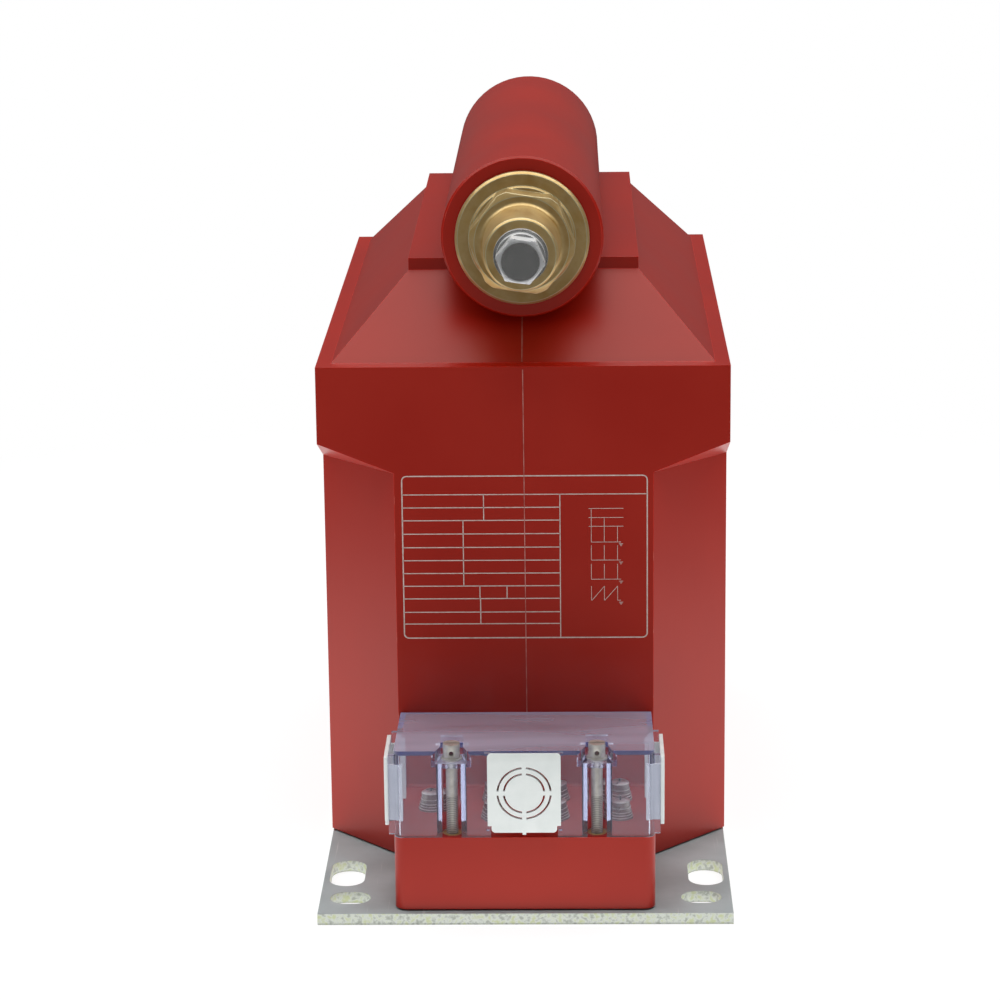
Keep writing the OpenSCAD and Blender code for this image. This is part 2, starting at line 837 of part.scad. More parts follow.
module contact_spring() {
    // Round wire swept along a helix whose first and last turns lie close
    sides = 8;
    steps = 20;
    closed = 1.05 * spring_wire;
    rise = (spring_l - spring_wire - 2 * closed) / spring_turns;
    last = (spring_turns + 2) * steps;
    mean = (spring_d - spring_wire) / 2;
    points = [for (i = [0 : last], k = [0 : sides - 1])
        let (t = i / steps, a = 360 * t, b = 360 * k / sides,
            r = mean + spring_wire / 2 * cos(b),
            open = min(max(t - 1, 0), spring_turns))
        [r * cos(a), r * sin(a),
            spring_wire / 2 * (1 + sin(b)) + rise * open + closed * (t - open)]];
    skin = [for (i = [0 : last - 1], k = [0 : sides - 1])
        let (n = (k + 1) % sides, o = i * sides) [o + k, o + n, o + sides + n, o + sides + k]];
    ends = [[for (k = [sides - 1 : -1 : 0]) k], [for (k = [0 : sides - 1]) last * sides + k]];
    color("gray") along_y(tube_y + recess_floor, tube_z) polyhedron(points, concat(skin, ends));
}

// Screw plug with the high-voltage terminal

module cap_seal() {
    color("black") along_y(tube_y - seal_cord / 2, tube_z)
        rotate_extrude() translate([seal_d / 2, 0]) circle(d = seal_cord);
}

module seal_groove() {
    along_y(tube_y - seal_cord, tube_z)
        ring_solid(seal_d + 1.3 * seal_cord, seal_d - 1.3 * seal_cord, seal_cord + over);
}

module crowned_hexagon(af, h, corner_d, pad_d, slope) {
    // Hexagon with its corners turned off and its front edge taken back to a round pad
    r = corner_d / 2 + over;
    pad = pad_d / 2;
    intersection() {
        hexagon(af, h);
        cylinder(d = corner_d, h = h);
        rotate_extrude() polygon([[0, -over], [r, -over], [r, h - (r - pad) * slope], [pad, h],
            [0, h]]);
    }
}

module cap_turning() {
    // Half section from the flange to the front of the boss, measured towards the front
    f = flange_d / 2;
    root = boss_root_d / 2;
    tip = boss_d / 2;
    front = flange_t + hex_h + boss_l;
    step = flange_t + hex_h;
    rotate_extrude() difference() {
        polygon([[0, 0], [f, 0], [f, flange_t - flange_edge], [f - flange_edge, flange_t],
            [collar_d / 2, flange_t], [collar_d / 2 - collar_h, flange_t + collar_h],
            [root + boss_fillet, flange_t + collar_h], [root + boss_fillet, step],
            [root, step + boss_fillet], [tip, front - boss_edge], [tip - boss_edge, front],
            [0, front]]);
        translate([root + boss_fillet, step + boss_fillet]) circle(boss_fillet);
    }
}

module fuse_cap() {
    color("darkkhaki") difference() {
        union() {
            translate([0, tube_y, tube_z]) rotate([90, 0, 0]) cap_turning();
            translate([0, tube_y - flange_t / 2, tube_z]) rotate([90, 0, 0]) rotate(hex_turn)
                crowned_hexagon(hex_af, hex_h + flange_t / 2, hex_corner_d, hex_pad_d, hex_slope);
            along_y(tube_y - flange_t / 2, tube_z) cylinder(d = plug_d, h = plug_l + flange_t / 2);
            along_y(tube_y, tube_z) cylinder(d = sleeve_d, h = sleeve_l);
        }
        seal_groove();
        along_y(boss_y - over, tube_z) cylinder(d = hv_d, h = hv_hole + over);
        along_y(tube_y + recess_floor, tube_z) cylinder(d = fuse_d + 2 * fuse_slack, h = sleeve_l);
    }
}

module hv_plain_washer() {
    color("lightgray") along_y(hv_spring_y, tube_z) ring_solid(hv_washer_d, hv_d + 1, hv_washer_t);
}

module hv_spring_washer() {
    color("lightgray") along_y(hv_head_y, tube_z) rotate(60)
        spring_washer(hv_spring_d, hv_d + 0.4, hv_spring_t);
}

module hv_bolt() {
    // Forged head, whose crowned front leaves a round pad inside the hexagon
    color("lightgray") {
        translate([0, hv_head_y, tube_z]) rotate([90, 0, 0]) rotate(hex_turn)
            crowned_hexagon(hv_af, hv_head_h, hv_af * hv_corner, hv_pad_d, hv_slope);
        along_y(hv_head_y - hv_head_h / 2, tube_z)
            cylinder(d = hv_d - screw_slack, h = hv_l + hv_head_h / 2);
    }
}

// Secondary terminals

module term_bush_outline() {
    translate([0, 0, term_bush_z]) cylinder(d = term_bush_d, h = term_bush_l + term_collar_h / 2);
}

module terminal_inserts() {
    color("goldenrod") place(term_at) difference() {
        union() {
            term_bush_outline();
            translate([0, 0, ped_z]) cylinder(d = term_collar_d, h = term_collar_h);
        }
        translate([0, 0, term_bush_z + over * 2]) cylinder(d = term_d, h = term_bush_l + term_collar_h);
    }
}

module terminal_plain_washers() {
    color("lightgray") place(term_at, term_washer_z)
        ring_solid(term_washer_d, term_d + 2 * screw_slack, term_washer_t);
}

module terminal_clamp_washers() {
    color("lightgray") place(term_at, term_clamp_z)
        ring_solid(term_clamp_d, term_d + 2 * screw_slack, term_clamp_t);
}

module terminal_spring_washers() {
    color("lightgray") place(term_at, term_spring_z)
        spring_washer(term_spring_d, term_d + 2 * screw_slack, term_spring_t);
}

module pan_head(d, h) {
    // Domed head with rounded sides and a cross recess
    crown_r = d * 0.85;
    side_r = d * 0.56;
    cross_l = d * 0.56;
    cross_w = d * 0.12;
    difference() {
        intersection() {
            cylinder(d = d, h = h);
            translate([0, 0, h - crown_r]) sphere(r = crown_r);
            translate([0, 0, h * 0.45]) sphere(r = side_r);
        }
        for (a = [0, 90]) rotate(a)
            translate([-cross_l / 2, -cross_w / 2, h / 2]) cube([cross_l, cross_w, h]);
    }
}

module terminal_screws() {
    color("lightgray") place(term_at, term_head_z) {
        pan_head(term_head_d, term_head_h);
        translate([0, 0, -term_l]) cylinder(d = term_d - screw_slack, h = term_l + term_head_h * 0.3);
    }
}

// Clear cover over the terminals

module cover_solid(wall) {
    // Sloping top and square sides, drawn in by wall on every closed side
    front = -cover_l - cover_gap + wall;
    rear = wall == 0 ? -cover_gap : over - cover_gap;
    foot = wall == 0 ? 0 : -over;
    slope = (cover_front_h - cover_rear_h) / cover_l;
    top_rear = cover_rear_h - wall - slope * (rear + cover_gap);
    top_front = cover_rear_h - wall - slope * (front + cover_gap);
    r = cover_r - wall;
    w = cover_w - 2 * wall;
    intersection() {
        translate([0, face_y, ped_z]) side_profile(w)
            polygon([[front, foot], [rear, foot], [rear, top_rear], [front, top_front]]);
        translate([0, face_y, ped_z - 2 * over]) linear_extrude(cover_front_h + 3 * over) {
            translate([-w / 2, front + r]) square([w, rear - front]);
            translate([-w / 2 + r, front]) square([w - 2 * r, rear - front]);
            for (s = [-1, 1]) translate([s * (w / 2 - r), front + r]) circle(r);
        }
    }
}

module pocket_plan(grow, ahead) {
    a = pocket_w / 2 + grow;
    b = pocket_rear_w / 2 + grow;
    back = pocket_l + grow;
    polygon([[-a, -ahead], [a, -ahead], [a, 0], [b, back * 0.6], [b, back], [-b, back],
        [-b, back * 0.6], [-a, 0]]);
}

module channel_plan(grow, ahead) {
    w = channel_w + 2 * grow;
    translate([-w / 2, -ahead]) square([w, cover_screw_in + ahead]);
    translate([0, cover_screw_in]) circle(d = w);
}

module screw_housings() {
    // Pocket above, channel below, both open to the front
    intersection() {
        cover_solid(0);
        for (s = [-1, 1]) translate([s * cover_screw_x, ped_y, 0]) {
            translate([0, 0, pocket_z - pocket_floor_t])
                linear_extrude(cover_front_h) pocket_plan(cover_wall, 0);
            translate([0, 0, ped_z]) linear_extrude(pocket_floor) channel_plan(cover_wall, 0);
        }
    }
    for (s = [-1, 1]) translate([s * cover_screw_x, ped_y + pocket_l, pocket_z])
        translate([-pocket_rear_w / 2, 0, 0])
            cube([pocket_rear_w, cover_wall, cover_front_h - pocket_floor + hood_h]);
}

module screw_cuts() {
    for (s = [-1, 1]) translate([s * cover_screw_x, ped_y, 0]) {
        translate([0, 0, pocket_z]) linear_extrude(cover_front_h) pocket_plan(0, over);
        translate([0, 0, ped_z - over])
            linear_extrude(pocket_floor - pocket_floor_t + over) channel_plan(0, over);
        translate([0, cover_screw_in, ped_z]) cylinder(d = cover_screw_d + 5 * screw_slack, h = cover_front_h);
    }
}

module front_entry() {
    // Places its children at the front opening, outward side to -Y
    translate([0, ped_y, ped_z]) children();
}

module side_entry(s) {
    // The same at the left (-1) or the right (1) opening
    translate([s * cover_w / 2, entry_y, ped_z]) rotate(s * 90) children();
}

module rails(foot, top) {
    reach = entry_w / 2 + rail / 2;
    depth = rail + cover_wall / 2;
    for (s = [-1, 1]) translate([s * reach, -rail, foot]) {
        translate([-rail / 2, 0, 0]) cube([rail, depth, top - foot]);
        rotate([-90, 0, 0]) cylinder(d = rail, h = depth);
    }
}

module opening(foot, webs) {
    // Open at its foot, and just high enough for the webs of the entry plate
    top = foot + tongue_h + webs + 2 * entry_slack;
    translate([-entry_w / 2, -over, -over]) cube([entry_w, cover_wall + 2 * over, top + over]);
}

module terminal_cover() {
    side_top = cover_top(entry_mid - entry_w / 2 - rail) - rail_drop;
    color("lavender", 0.5) difference() {
        union() {
            difference() {
                cover_solid(0);
                cover_solid(cover_wall);
            }
            screw_housings();
            front_entry() rails(rail_foot, cover_front_h - rail_drop);
            for (s = [-1, 1]) side_entry(s) rails(side_rail_foot, side_top);
        }
        screw_cuts();
        front_entry() opening(front_entry_z, web_h);
        for (s = [-1, 1]) side_entry(s) opening(side_entry_z, web_h - lean_h);
    }
}

// White knock-out plates

module knock_out(r) {
    difference() {
        circle(r + ring_slot / 2);
        circle(r - ring_slot / 2);
        square([ring_bridge, 3 * r], center = true);
        square([3 * r, ring_bridge], center = true);
    }
}

module entry_face(h) {
    // Outline of the face: a wide panel above a narrow tongue with a nib under it
    full = entry_w + 2 * plate_lap;
    panel = h - tongue_h;
    difference() {
        union() {
            translate([0, tongue_h + panel / 2]) rounded(full, panel, entry_plate_r);
            translate([-full / 2, tongue_h]) square([full, panel / 2]);
            translate([0, tongue_h]) rounded(tongue_w, 2 * tongue_h, entry_plate_r);
        }
        translate([0, ring_mid]) {
            knock_out(ring_outer);
            knock_out(ring_inner);
        }
    }
    translate([-nib_w / 2, -nib_h]) square([nib_w, nib_h + tongue_h]);
}

module entry_plate(h, webs) {
    // Face outside the rails, webs through the opening and lips behind the wall
    full = entry_w + 2 * plate_lap;
    front = entry_face_y + entry_plate_t;
    inside = cover_wall + entry_slack;
    color("whitesmoke") {
        difference() {
            translate([0, -entry_face_y, 0]) rotate([90, 0, 0]) linear_extrude(entry_plate_t) entry_face(h);
            translate([0, -front, entry_plate_h]) side_profile(full + 2 * over)
                polygon([[-over, over], [lean, 0], [0, -lean_h], [-over, -lean_h]]);
        }
        for (s = [0, 1]) mirror([s, 0, 0])
            translate([entry_w / 2 - entry_slack - lip_t, -entry_face_y - entry_plate_t / 2, tongue_h]) {
                cube([lip_t, entry_face_y + entry_plate_t / 2 + inside + lip_t, webs]);
                translate([0, entry_face_y + entry_plate_t / 2 + inside, 0])
                    cube([lip_t + plate_lap, lip_t, webs]);
            }
    }
}

module front_entry_plate() {
    front_entry() translate([0, 0, front_entry_z]) entry_plate(entry_plate_h, web_h);
}

module side_entry_plate(s) {
    side_entry(s) translate([0, 0, side_entry_z]) entry_plate(entry_plate_h - lean_h, web_h - lean_h);
}

module left_entry_plate() {
    side_entry_plate(-1);
}

module right_entry_plate() {
    side_entry_plate(1);
}

// Cover screws

module cover_inserts() {
    color("goldenrod") place(cover_screw_at, ped_z - cover_bush_l) difference() {
        cylinder(d = cover_bush_d, h = cover_bush_l);
        translate([0, 0, 2 * over]) cylinder(d = cover_screw_d, h = cover_bush_l);
    }
}

module cover_screw_washers() {
    color("lightgray") place(cover_screw_at, pocket_z)
        ring_solid(cover_washer_d, cover_screw_d + 2 * screw_slack, cover_washer_t);
}

module cover_screws() {
    // Tall slotted head, cross-drilled for a sealing wire
    head_z = pocket_z + cover_washer_t;
    reach = head_z - ped_z + cover_screw_grip;
    color("lightgray") place(cover_screw_at, head_z) difference() {
        union() {
            cylinder(d = cover_head_d, h = cover_head_h);
            translate([0, 0, -reach]) cylinder(d = cover_screw_d - screw_slack, h = reach + over);
        }
        translate([-cover_head_d, -driver_slot / 2, cover_head_h - driver_depth])
            cube([2 * cover_head_d, driver_slot, driver_depth + over]);
        for (a = [0, 90]) translate([0, 0, cover_head_h * 0.4]) rotate([90, 0, a])
            cylinder(d = seal_hole_d, h = 2 * cover_head_d, center = true);
    }
}

base_plate();
base_bolts();
base_inserts();
resin_body();
iron_core();
core_band();
core_earth_lead();
winding_tube();
measuring_winding_1();
measuring_winding_2();
residual_winding();
insulation_barrier();
primary_winding();
primary_lead();
neutral_lead();
secondary_leads();
rear_contact();
cap_ring();
fuse_barrel();
fuse_end_caps();
contact_spring();
cap_seal();
fuse_cap();
hv_plain_washer();
hv_spring_washer();
hv_bolt();
terminal_inserts();
terminal_plain_washers();
terminal_clamp_washers();
terminal_spring_washers();
terminal_screws();
cover_inserts();
terminal_cover();
front_entry_plate();
left_entry_plate();
right_entry_plate();
cover_screw_washers();
cover_screws();
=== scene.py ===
import math
import bmesh
import bpy
from mathutils import Matrix, Vector


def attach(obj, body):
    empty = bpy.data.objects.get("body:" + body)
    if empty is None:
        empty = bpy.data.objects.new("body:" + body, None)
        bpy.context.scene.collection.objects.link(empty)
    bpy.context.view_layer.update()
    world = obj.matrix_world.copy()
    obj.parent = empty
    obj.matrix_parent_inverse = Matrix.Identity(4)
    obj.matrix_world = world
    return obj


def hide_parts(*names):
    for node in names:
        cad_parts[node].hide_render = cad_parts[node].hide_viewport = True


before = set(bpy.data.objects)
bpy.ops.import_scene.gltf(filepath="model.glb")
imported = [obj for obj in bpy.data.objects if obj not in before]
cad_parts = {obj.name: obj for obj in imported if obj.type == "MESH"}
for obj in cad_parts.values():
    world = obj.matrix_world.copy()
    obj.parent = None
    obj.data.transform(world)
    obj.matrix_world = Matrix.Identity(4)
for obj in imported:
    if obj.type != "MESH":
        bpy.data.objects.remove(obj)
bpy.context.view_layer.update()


# Camera: a long lens a metre and a half in front of the transformer and a little above it.
# It looks down by 15 degrees, as the photograph was taken.
lens_mm = 120.6
sensor_mm = 36.0
farthest_m = 50.0
camera_place = Vector((0.02135, -1.5088, 0.5288))
yaw, pitch, roll = (math.radians(degrees) for degrees in (-1.31, 14.77, -0.65))

forward = Vector((
    math.sin(yaw) * math.cos(pitch),
    math.cos(yaw) * math.cos(pitch),
    -math.sin(pitch),
))
level_right = Vector((math.cos(yaw), -math.sin(yaw), 0.0))
level_up = level_right.cross(forward)
right = level_right * math.cos(roll) + level_up * math.sin(roll)
up = level_up * math.cos(roll) - level_right * math.sin(roll)
aim = Matrix((right, up, -forward)).transposed().to_4x4()

camera_data = bpy.data.cameras.new("studio_camera")
camera_data.lens = lens_mm
camera_data.sensor_width = sensor_mm
camera_data.clip_end = farthest_m
camera = bpy.data.objects.new("studio_camera", camera_data)
bpy.context.scene.collection.objects.link(camera)
camera.matrix_world = Matrix.Translation(camera_place) @ aim
bpy.context.scene.camera = camera


# Base plate: 5 mm mild steel, sheared and punched, then zinc plated. It carries the casting,
# which is screwed down from below, and its slots take the bolts of the switchgear's floor.
# The plating is dull and scratched on top and speckled yellow-green on the cut edges.
plate_edge_mm = 0.35
scratch_turn = math.radians(33)
least_scratch, full_scratch, scratch_share = 0.68, 0.76, 0.7
flat_from = 0.7


def linear(hex_colour):
    """An sRGB hex colour as linear red, green, blue and one."""
    shares = [int(hex_colour[i:i + 2], 16) / 255 for i in (1, 3, 5)]
    return tuple(
        s / 12.92 if s <= 0.04045 else ((s + 0.055) / 1.055) ** 2.4 for s in shares
    ) + (1.0,)


def each(size_mm):
    """The texture scale at which one feature is this many millimetres."""
    return 1000.0 / size_mm


def set_sockets(node, values):
    """Puts values, or other nodes' outputs, into a node's sockets."""
    for socket, value in values.items():
        if isinstance(value, bpy.types.NodeSocket):
            node.id_data.links.new(value, node.inputs[socket])
        else:
            node.inputs[socket].default_value = value


def add(material, kind, sockets=None, stops=(), **settings):
    """One shader node with its settings, its ramp's stops and what goes into its sockets."""
    node = material.node_tree.nodes.new(kind)
    for name, value in settings.items():
        setattr(node, name, value)
    if stops:
        elements = node.color_ramp.elements
        while len(elements) < len(stops):
            elements.new(0.5)
        for element, (place, tone) in zip(elements, stops):
            element.position = place
            element.color = linear(tone)
    set_sockets(node, sockets or {})
    return node


def new_material(name):
    """A material with its shader and the Object coordinates that its patterns read."""
    material = bpy.data.materials.new(name)
    material.use_nodes = True
    shader = material.node_tree.nodes["Principled BSDF"]
    place = add(material, "ShaderNodeTexCoord").outputs["Object"]
    return material, shader, place


def rounded_copy(node, radius_mm, sharp_deg=30, chosen=None, segments=2):
    """A CAD node's shape with its corners merged, its flats whole and its sharp edges rounded."""
    merge_m = 2e-6
    flat_within = math.radians(0.2)
    shape = bmesh.new()
    shape.from_mesh(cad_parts[node].data)
    bmesh.ops.remove_doubles(shape, verts=shape.verts, dist=merge_m)
    bmesh.ops.dissolve_limit(
        shape, angle_limit=flat_within, verts=shape.verts, edges=shape.edges, delimit={"NORMAL"}
    )
    rounded = shape.faces.layers.float.new("rounded_edge")
    sharp = [
        edge for edge in shape.edges
        if edge.is_manifold and edge.calc_face_angle() > math.radians(sharp_deg)
        and (chosen is None or chosen(edge))
    ]
    made = bmesh.ops.bevel(
        shape, geom=sharp, offset=radius_mm / 1000, offset_type="OFFSET", affect="EDGES",
        segments=segments, profile=0.5, material=-1, clamp_overlap=True,
    )
    for face in made["faces"]:
        face[rounded] = 1.0
    return shape


def mark_faces(shape, name, value):
    """Gives each face a number under this name, for its material to read."""
    layer = shape.faces.layers.float.new(name)
    for face in shape.faces:
        face[layer] = value(face)


def stand_for(shape, name, node, material):
    """Makes the finished piece from its shape, in place of the CAD node."""
    smooth_below = math.radians(35)
    mesh = bpy.data.meshes.new(name)
    shape.to_mesh(mesh)
    shape.free()
    for old in [a.name for a in mesh.attributes if a.name == "custom_normal"]:
        mesh.attributes.remove(mesh.attributes[old])
    mesh.shade_smooth()
    mesh.set_sharp_from_angle(angle=smooth_below)
    mesh.materials.clear()
    mesh.materials.append(material)
    piece = bpy.data.objects.new(name, mesh)
    bpy.context.scene.collection.objects.link(piece)
    even = piece.modifiers.new("even_shading", "WEIGHTED_NORMAL")
    even.keep_sharp = True
    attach(piece, "root")
    if node:
        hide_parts(node)


# The rolling grain is finer than 0.9 mm in truth and is drawn as coarse as it needs to show.
plate_zinc, shader, place = new_material("zinc_plated_steel_sheet")
grain_way = add(
    plate_zinc, "ShaderNodeMapping", {"Vector": place, "Scale": (1.0, 0.12, 1.0)}
).outputs[0]
rolled = add(
    plate_zinc, "ShaderNodeTexNoise", {"Vector": grain_way, "Scale": each(0.9), "Detail": 3.0}
).outputs[0]
cloud = add(
    plate_zinc, "ShaderNodeTexNoise", {"Vector": place, "Scale": each(22), "Detail": 5.0}
).outputs[0]
flat_tone = add(
    plate_zinc, "ShaderNodeValToRGB", {"Fac": cloud}, [(0.3, "#9EA9AA"), (0.7, "#B2BCBD")]
).outputs[0]
speck = add(
    plate_zinc, "ShaderNodeTexNoise", {"Vector": place, "Scale": each(2.2), "Detail": 4.0}
).outputs[0]
cut_tone = add(
    plate_zinc, "ShaderNodeValToRGB", {"Fac": speck},
    [(0.36, "#A0A59A"), (0.5, "#C9CEC6"), (0.64, "#BCC39C")],
).outputs[0]
is_cut = add(plate_zinc, "ShaderNodeAttribute", attribute_name="cut_edge").outputs["Fac"]
plated = add(
    plate_zinc, "ShaderNodeMix", {0: is_cut, 6: flat_tone, 7: cut_tone}, data_type="RGBA"
).outputs[2]
scratch_way = add(
    plate_zinc, "ShaderNodeMapping",
    {"Vector": place, "Rotation": (0.0, 0.0, scratch_turn), "Scale": (1.0, 0.03, 1.0)},
).outputs[0]
scratches = add(
    plate_zinc, "ShaderNodeTexNoise", {"Vector": scratch_way, "Scale": each(1.6), "Detail": 2.0}
).outputs[0]
scratched = add(plate_zinc, "ShaderNodeMapRange", {
    "Value": scratches, "From Min": least_scratch, "From Max": full_scratch,
    "To Min": 0.0, "To Max": scratch_share,
}).outputs[0]
relief = add(
    plate_zinc, "ShaderNodeMath", {0: rolled, 1: scratched}, operation="SUBTRACT"
).outputs[0]
set_sockets(shader, {
    "Base Color": add(
        plate_zinc, "ShaderNodeMix", {0: scratched, 6: plated, 7: linear("#C9CDCD")},
        data_type="RGBA",
    ).outputs[2],
    "Roughness": add(
        plate_zinc, "ShaderNodeMapRange",
        {"Value": cloud, "From Min": 0.3, "From Max": 0.7, "To Min": 0.46, "To Max": 0.58},
    ).outputs[0],
    "Normal": add(
        plate_zinc, "ShaderNodeBump", {"Height": relief, "Strength": 0.25, "Distance": 0.00006}
    ).outputs[0],
    "Metallic": 0.15,
})

plate = rounded_copy("base_plate", plate_edge_mm, sharp_deg=60)
mark_faces(plate, "cut_edge", lambda face: 1.0 if abs(face.normal.z) < flat_from else 0.0)
stand_for(plate, "slotted_plate", "base_plate", plate_zinc)


# Casting: red epoxy resin, poured in a steel mould round the core and windings and cured.
# The skin is satin and very finely grained, with a few specks of pale dust, and the outer
# edges are rounded, a little rubbed and painted a brighter red as a painted highlight.
casting_edge_mm = 1.1
between_specks_mm = 26
speck_r_mm, speck_rim_mm, speck_share = 0.234, 0.416, 0.5
front_face_y_mm = -133.0
tube_axis_z_mm = 274.9
chamber_r_mm, chamber_front_y_mm, chamber_low_z_mm = 33, -115, 245
# What lies inside the block, the pedestal and the foot: half width, front, rear, low and high.
enclosed_mm = ((84, -130, 172, 8, 221), (52, -194, -131, 0, 45), (80, -128, 170, 0, 7))

resin, shader, place = new_material("cast_epoxy_resin_red")
flow = add(
    resin, "ShaderNodeTexNoise", {"Vector": place, "Scale": each(60), "Detail": 4.0}
).outputs[0]
skin_tone = add(
    resin, "ShaderNodeValToRGB", {"Fac": flow}, [(0.3, "#981404"), (0.7, "#A01A08")]
).outputs[0]
rubbed = add(
    resin, "ShaderNodeTexNoise", {"Vector": place, "Scale": each(9), "Detail": 6.0}
).outputs[0]
# The rounded edges are painted a brighter red as a painted highlight; the pale stop is rubbed wear.
edge_highlight_and_wear_tone = add(
    resin, "ShaderNodeValToRGB", {"Fac": rubbed},
    [(0.4, "#BE1A0E"), (0.6, "#C8281C"), (0.72, "#D4766A")],
).outputs[0]
is_rounded = add(resin, "ShaderNodeAttribute", attribute_name="rounded_edge").outputs["Fac"]
moulded = add(
    resin, "ShaderNodeMix", {0: is_rounded, 6: skin_tone, 7: edge_highlight_and_wear_tone}, data_type="RGBA"
).outputs[2]
to_speck = add(
    resin, "ShaderNodeTexVoronoi", {"Vector": place, "Scale": each(between_specks_mm)},
    feature="F1",
).outputs["Distance"]
dusted = add(resin, "ShaderNodeMapRange", {
    "Value": to_speck, "From Min": speck_r_mm / between_specks_mm,
    "From Max": speck_rim_mm / between_specks_mm, "To Min": speck_share, "To Max": 0.0,
}).outputs[0]
grained = add(
    resin, "ShaderNodeTexNoise", {"Vector": place, "Scale": each(1.4), "Detail": 3.0}
).outputs[0]
set_sockets(shader, {
    "Base Color": add(
        resin, "ShaderNodeMix", {0: dusted, 6: moulded, 7: linear("#C4695E")}, data_type="RGBA"
    ).outputs[2],
    "Roughness": add(
        resin, "ShaderNodeMapRange",
        {"Value": flow, "From Min": 0.3, "From Max": 0.7, "To Min": 0.29, "To Max": 0.33},
    ).outputs[0],
    "Normal": add(
        resin, "ShaderNodeBump", {"Height": grained, "Strength": 0.08, "Distance": 0.00006}
    ).outputs[0],
    "IOR": 1.46,
    "Specular Tint": linear("#FFEAE2"),
})


def outer_edge(edge):
    """True on the casting's outside, clear of the chamber, the cast-in pieces and their seats."""
    x, y, z = (edge.verts[0].co + edge.verts[1].co) * 1000.0 / 2
    is_enclosed = any(
        abs(x) < half and front < y < rear and low < z < high
        for half, front, rear, low, high in enclosed_mm
    )
    off_axis = math.hypot(x, z - tube_axis_z_mm)
    in_chamber = off_axis < chamber_r_mm and z > chamber_low_z_mm and y > chamber_front_y_mm
    return not (is_enclosed or in_chamber)


casting = rounded_copy(
    "resin_body", casting_edge_mm, sharp_deg=18, chosen=outer_edge, segments=3
)
stand_for(casting, "resin_casting", "resin_body", resin)


# Mould seam: the thin fin of resin left where the two halves of the mould met at the front.
# It runs down the middle of the roof's front slope and of the front face as a fine pale line.
seam_w_mm = 0.35
seam_h_mm = 0.12
slope_outward = (0, -0.615, 0.788)
slope_seam_mm = ((-0.4, -84.6, 256.0), (-0.4, -125.3, 224.2))
face_seam_mm = ((0.0, front_face_y_mm, 222.6), (0.6, front_face_y_mm, 38.0))

seam_resin, shader, place = new_material("epoxy_mould_seam")
broken = add(
    seam_resin, "ShaderNodeTexNoise", {"Vector": place, "Scale": each(6), "Detail": 4.0}
).outputs[0]
set_sockets(shader, {
    "Base Color": add(
        seam_resin, "ShaderNodeValToRGB", {"Fac": broken}, [(0.35, "#A24C44"), (0.65, "#C58880")]
    ).outputs[0],
    "Roughness": 0.5,
})


def flat_bar(shape, start_mm, end_mm, width_mm, height_mm, outward):
    """Adds a low bar from start to end, standing on a surface that faces outward."""
    sink_mm = 0.1
    start, end = Vector(start_mm) / 1000, Vector(end_mm) / 1000
    outward = Vector(outward).normalized()
    along = (end - start).normalized()
    across = along.cross(outward).normalized()
    turn = Matrix((along, across, outward)).transposed().to_4x4()
    tall_m = (height_mm + sink_mm) / 1000
    size = Matrix.Diagonal(((end - start).length, width_mm / 1000, tall_m, 1.0))
    middle = (start + end) / 2 + outward * (height_mm - sink_mm) / 2000
    bmesh.ops.create_cube(shape, size=1.0, matrix=Matrix.Translation(middle) @ turn @ size)


seam = bmesh.new()
flat_bar(seam, *slope_seam_mm, seam_w_mm, seam_h_mm, slope_outward)
flat_bar(seam, *face_seam_mm, seam_w_mm, seam_h_mm, (0, -1, 0))
bmesh.ops.recalc_face_normals(seam, faces=seam.faces)
stand_for(seam, "mould_seam", None, seam_resin)


# Rating table: the plain ruled frame of the table that is screen printed on the front face,
# with the fine lines of its wiring sketch. It is one thin layer of pale grey ink, rubbed in
# places, and its boxes are left empty. Lines are in millimetres right and down from its corner.
line_mm = 0.4
frame_line_mm = 0.52
sketch_line_mm = 0.22
ink_mm = 0.03
corner_mm = 2.0
corner_steps = 5
table_left_mm, table_top_mm = -51.8, 176.5
table_w_mm, table_h_mm = 104.2, 71.7
title_foot, text_right = 8.11, 67.11

ink, shader, place = new_material("screen_printed_grey_ink")
worn = add(
    ink, "ShaderNodeTexNoise", {"Vector": place, "Scale": each(1.6), "Detail": 4.0}
).outputs[0]
set_sockets(shader, {
    "Base Color": add(
        ink, "ShaderNodeValToRGB", {"Fac": worn},
        [(0.3, "#B79E96"), (0.5, "#C4B5AE"), (0.7, "#CBBFB8")],
    ).outputs[0],
    "Roughness": 0.6,
})


def on_face(across_mm, down_mm):
    """A point of the front face, measured from the table's top left corner."""
    return table_left_mm + across_mm, front_face_y_mm, table_top_mm - down_mm


rules = [(0.0, title_foot, table_w_mm, title_foot)]
rules += [
    (0.0, down, text_right, down)
    for down in (13.82, 19.48, 25.41, 31.38, 37.14, 42.85, 48.51, 54.14, 60.15, 65.38)
]
rules += [
    (across, top, across, foot) for across, top, foot in (
        (text_right, title_foot, table_h_mm), (34.65, title_foot, 19.48), (25.80, 19.48, 48.51),
        (32.67, 48.51, 54.14), (44.26, 48.51, 54.14), (32.88, 54.14, 65.38),
    )
]

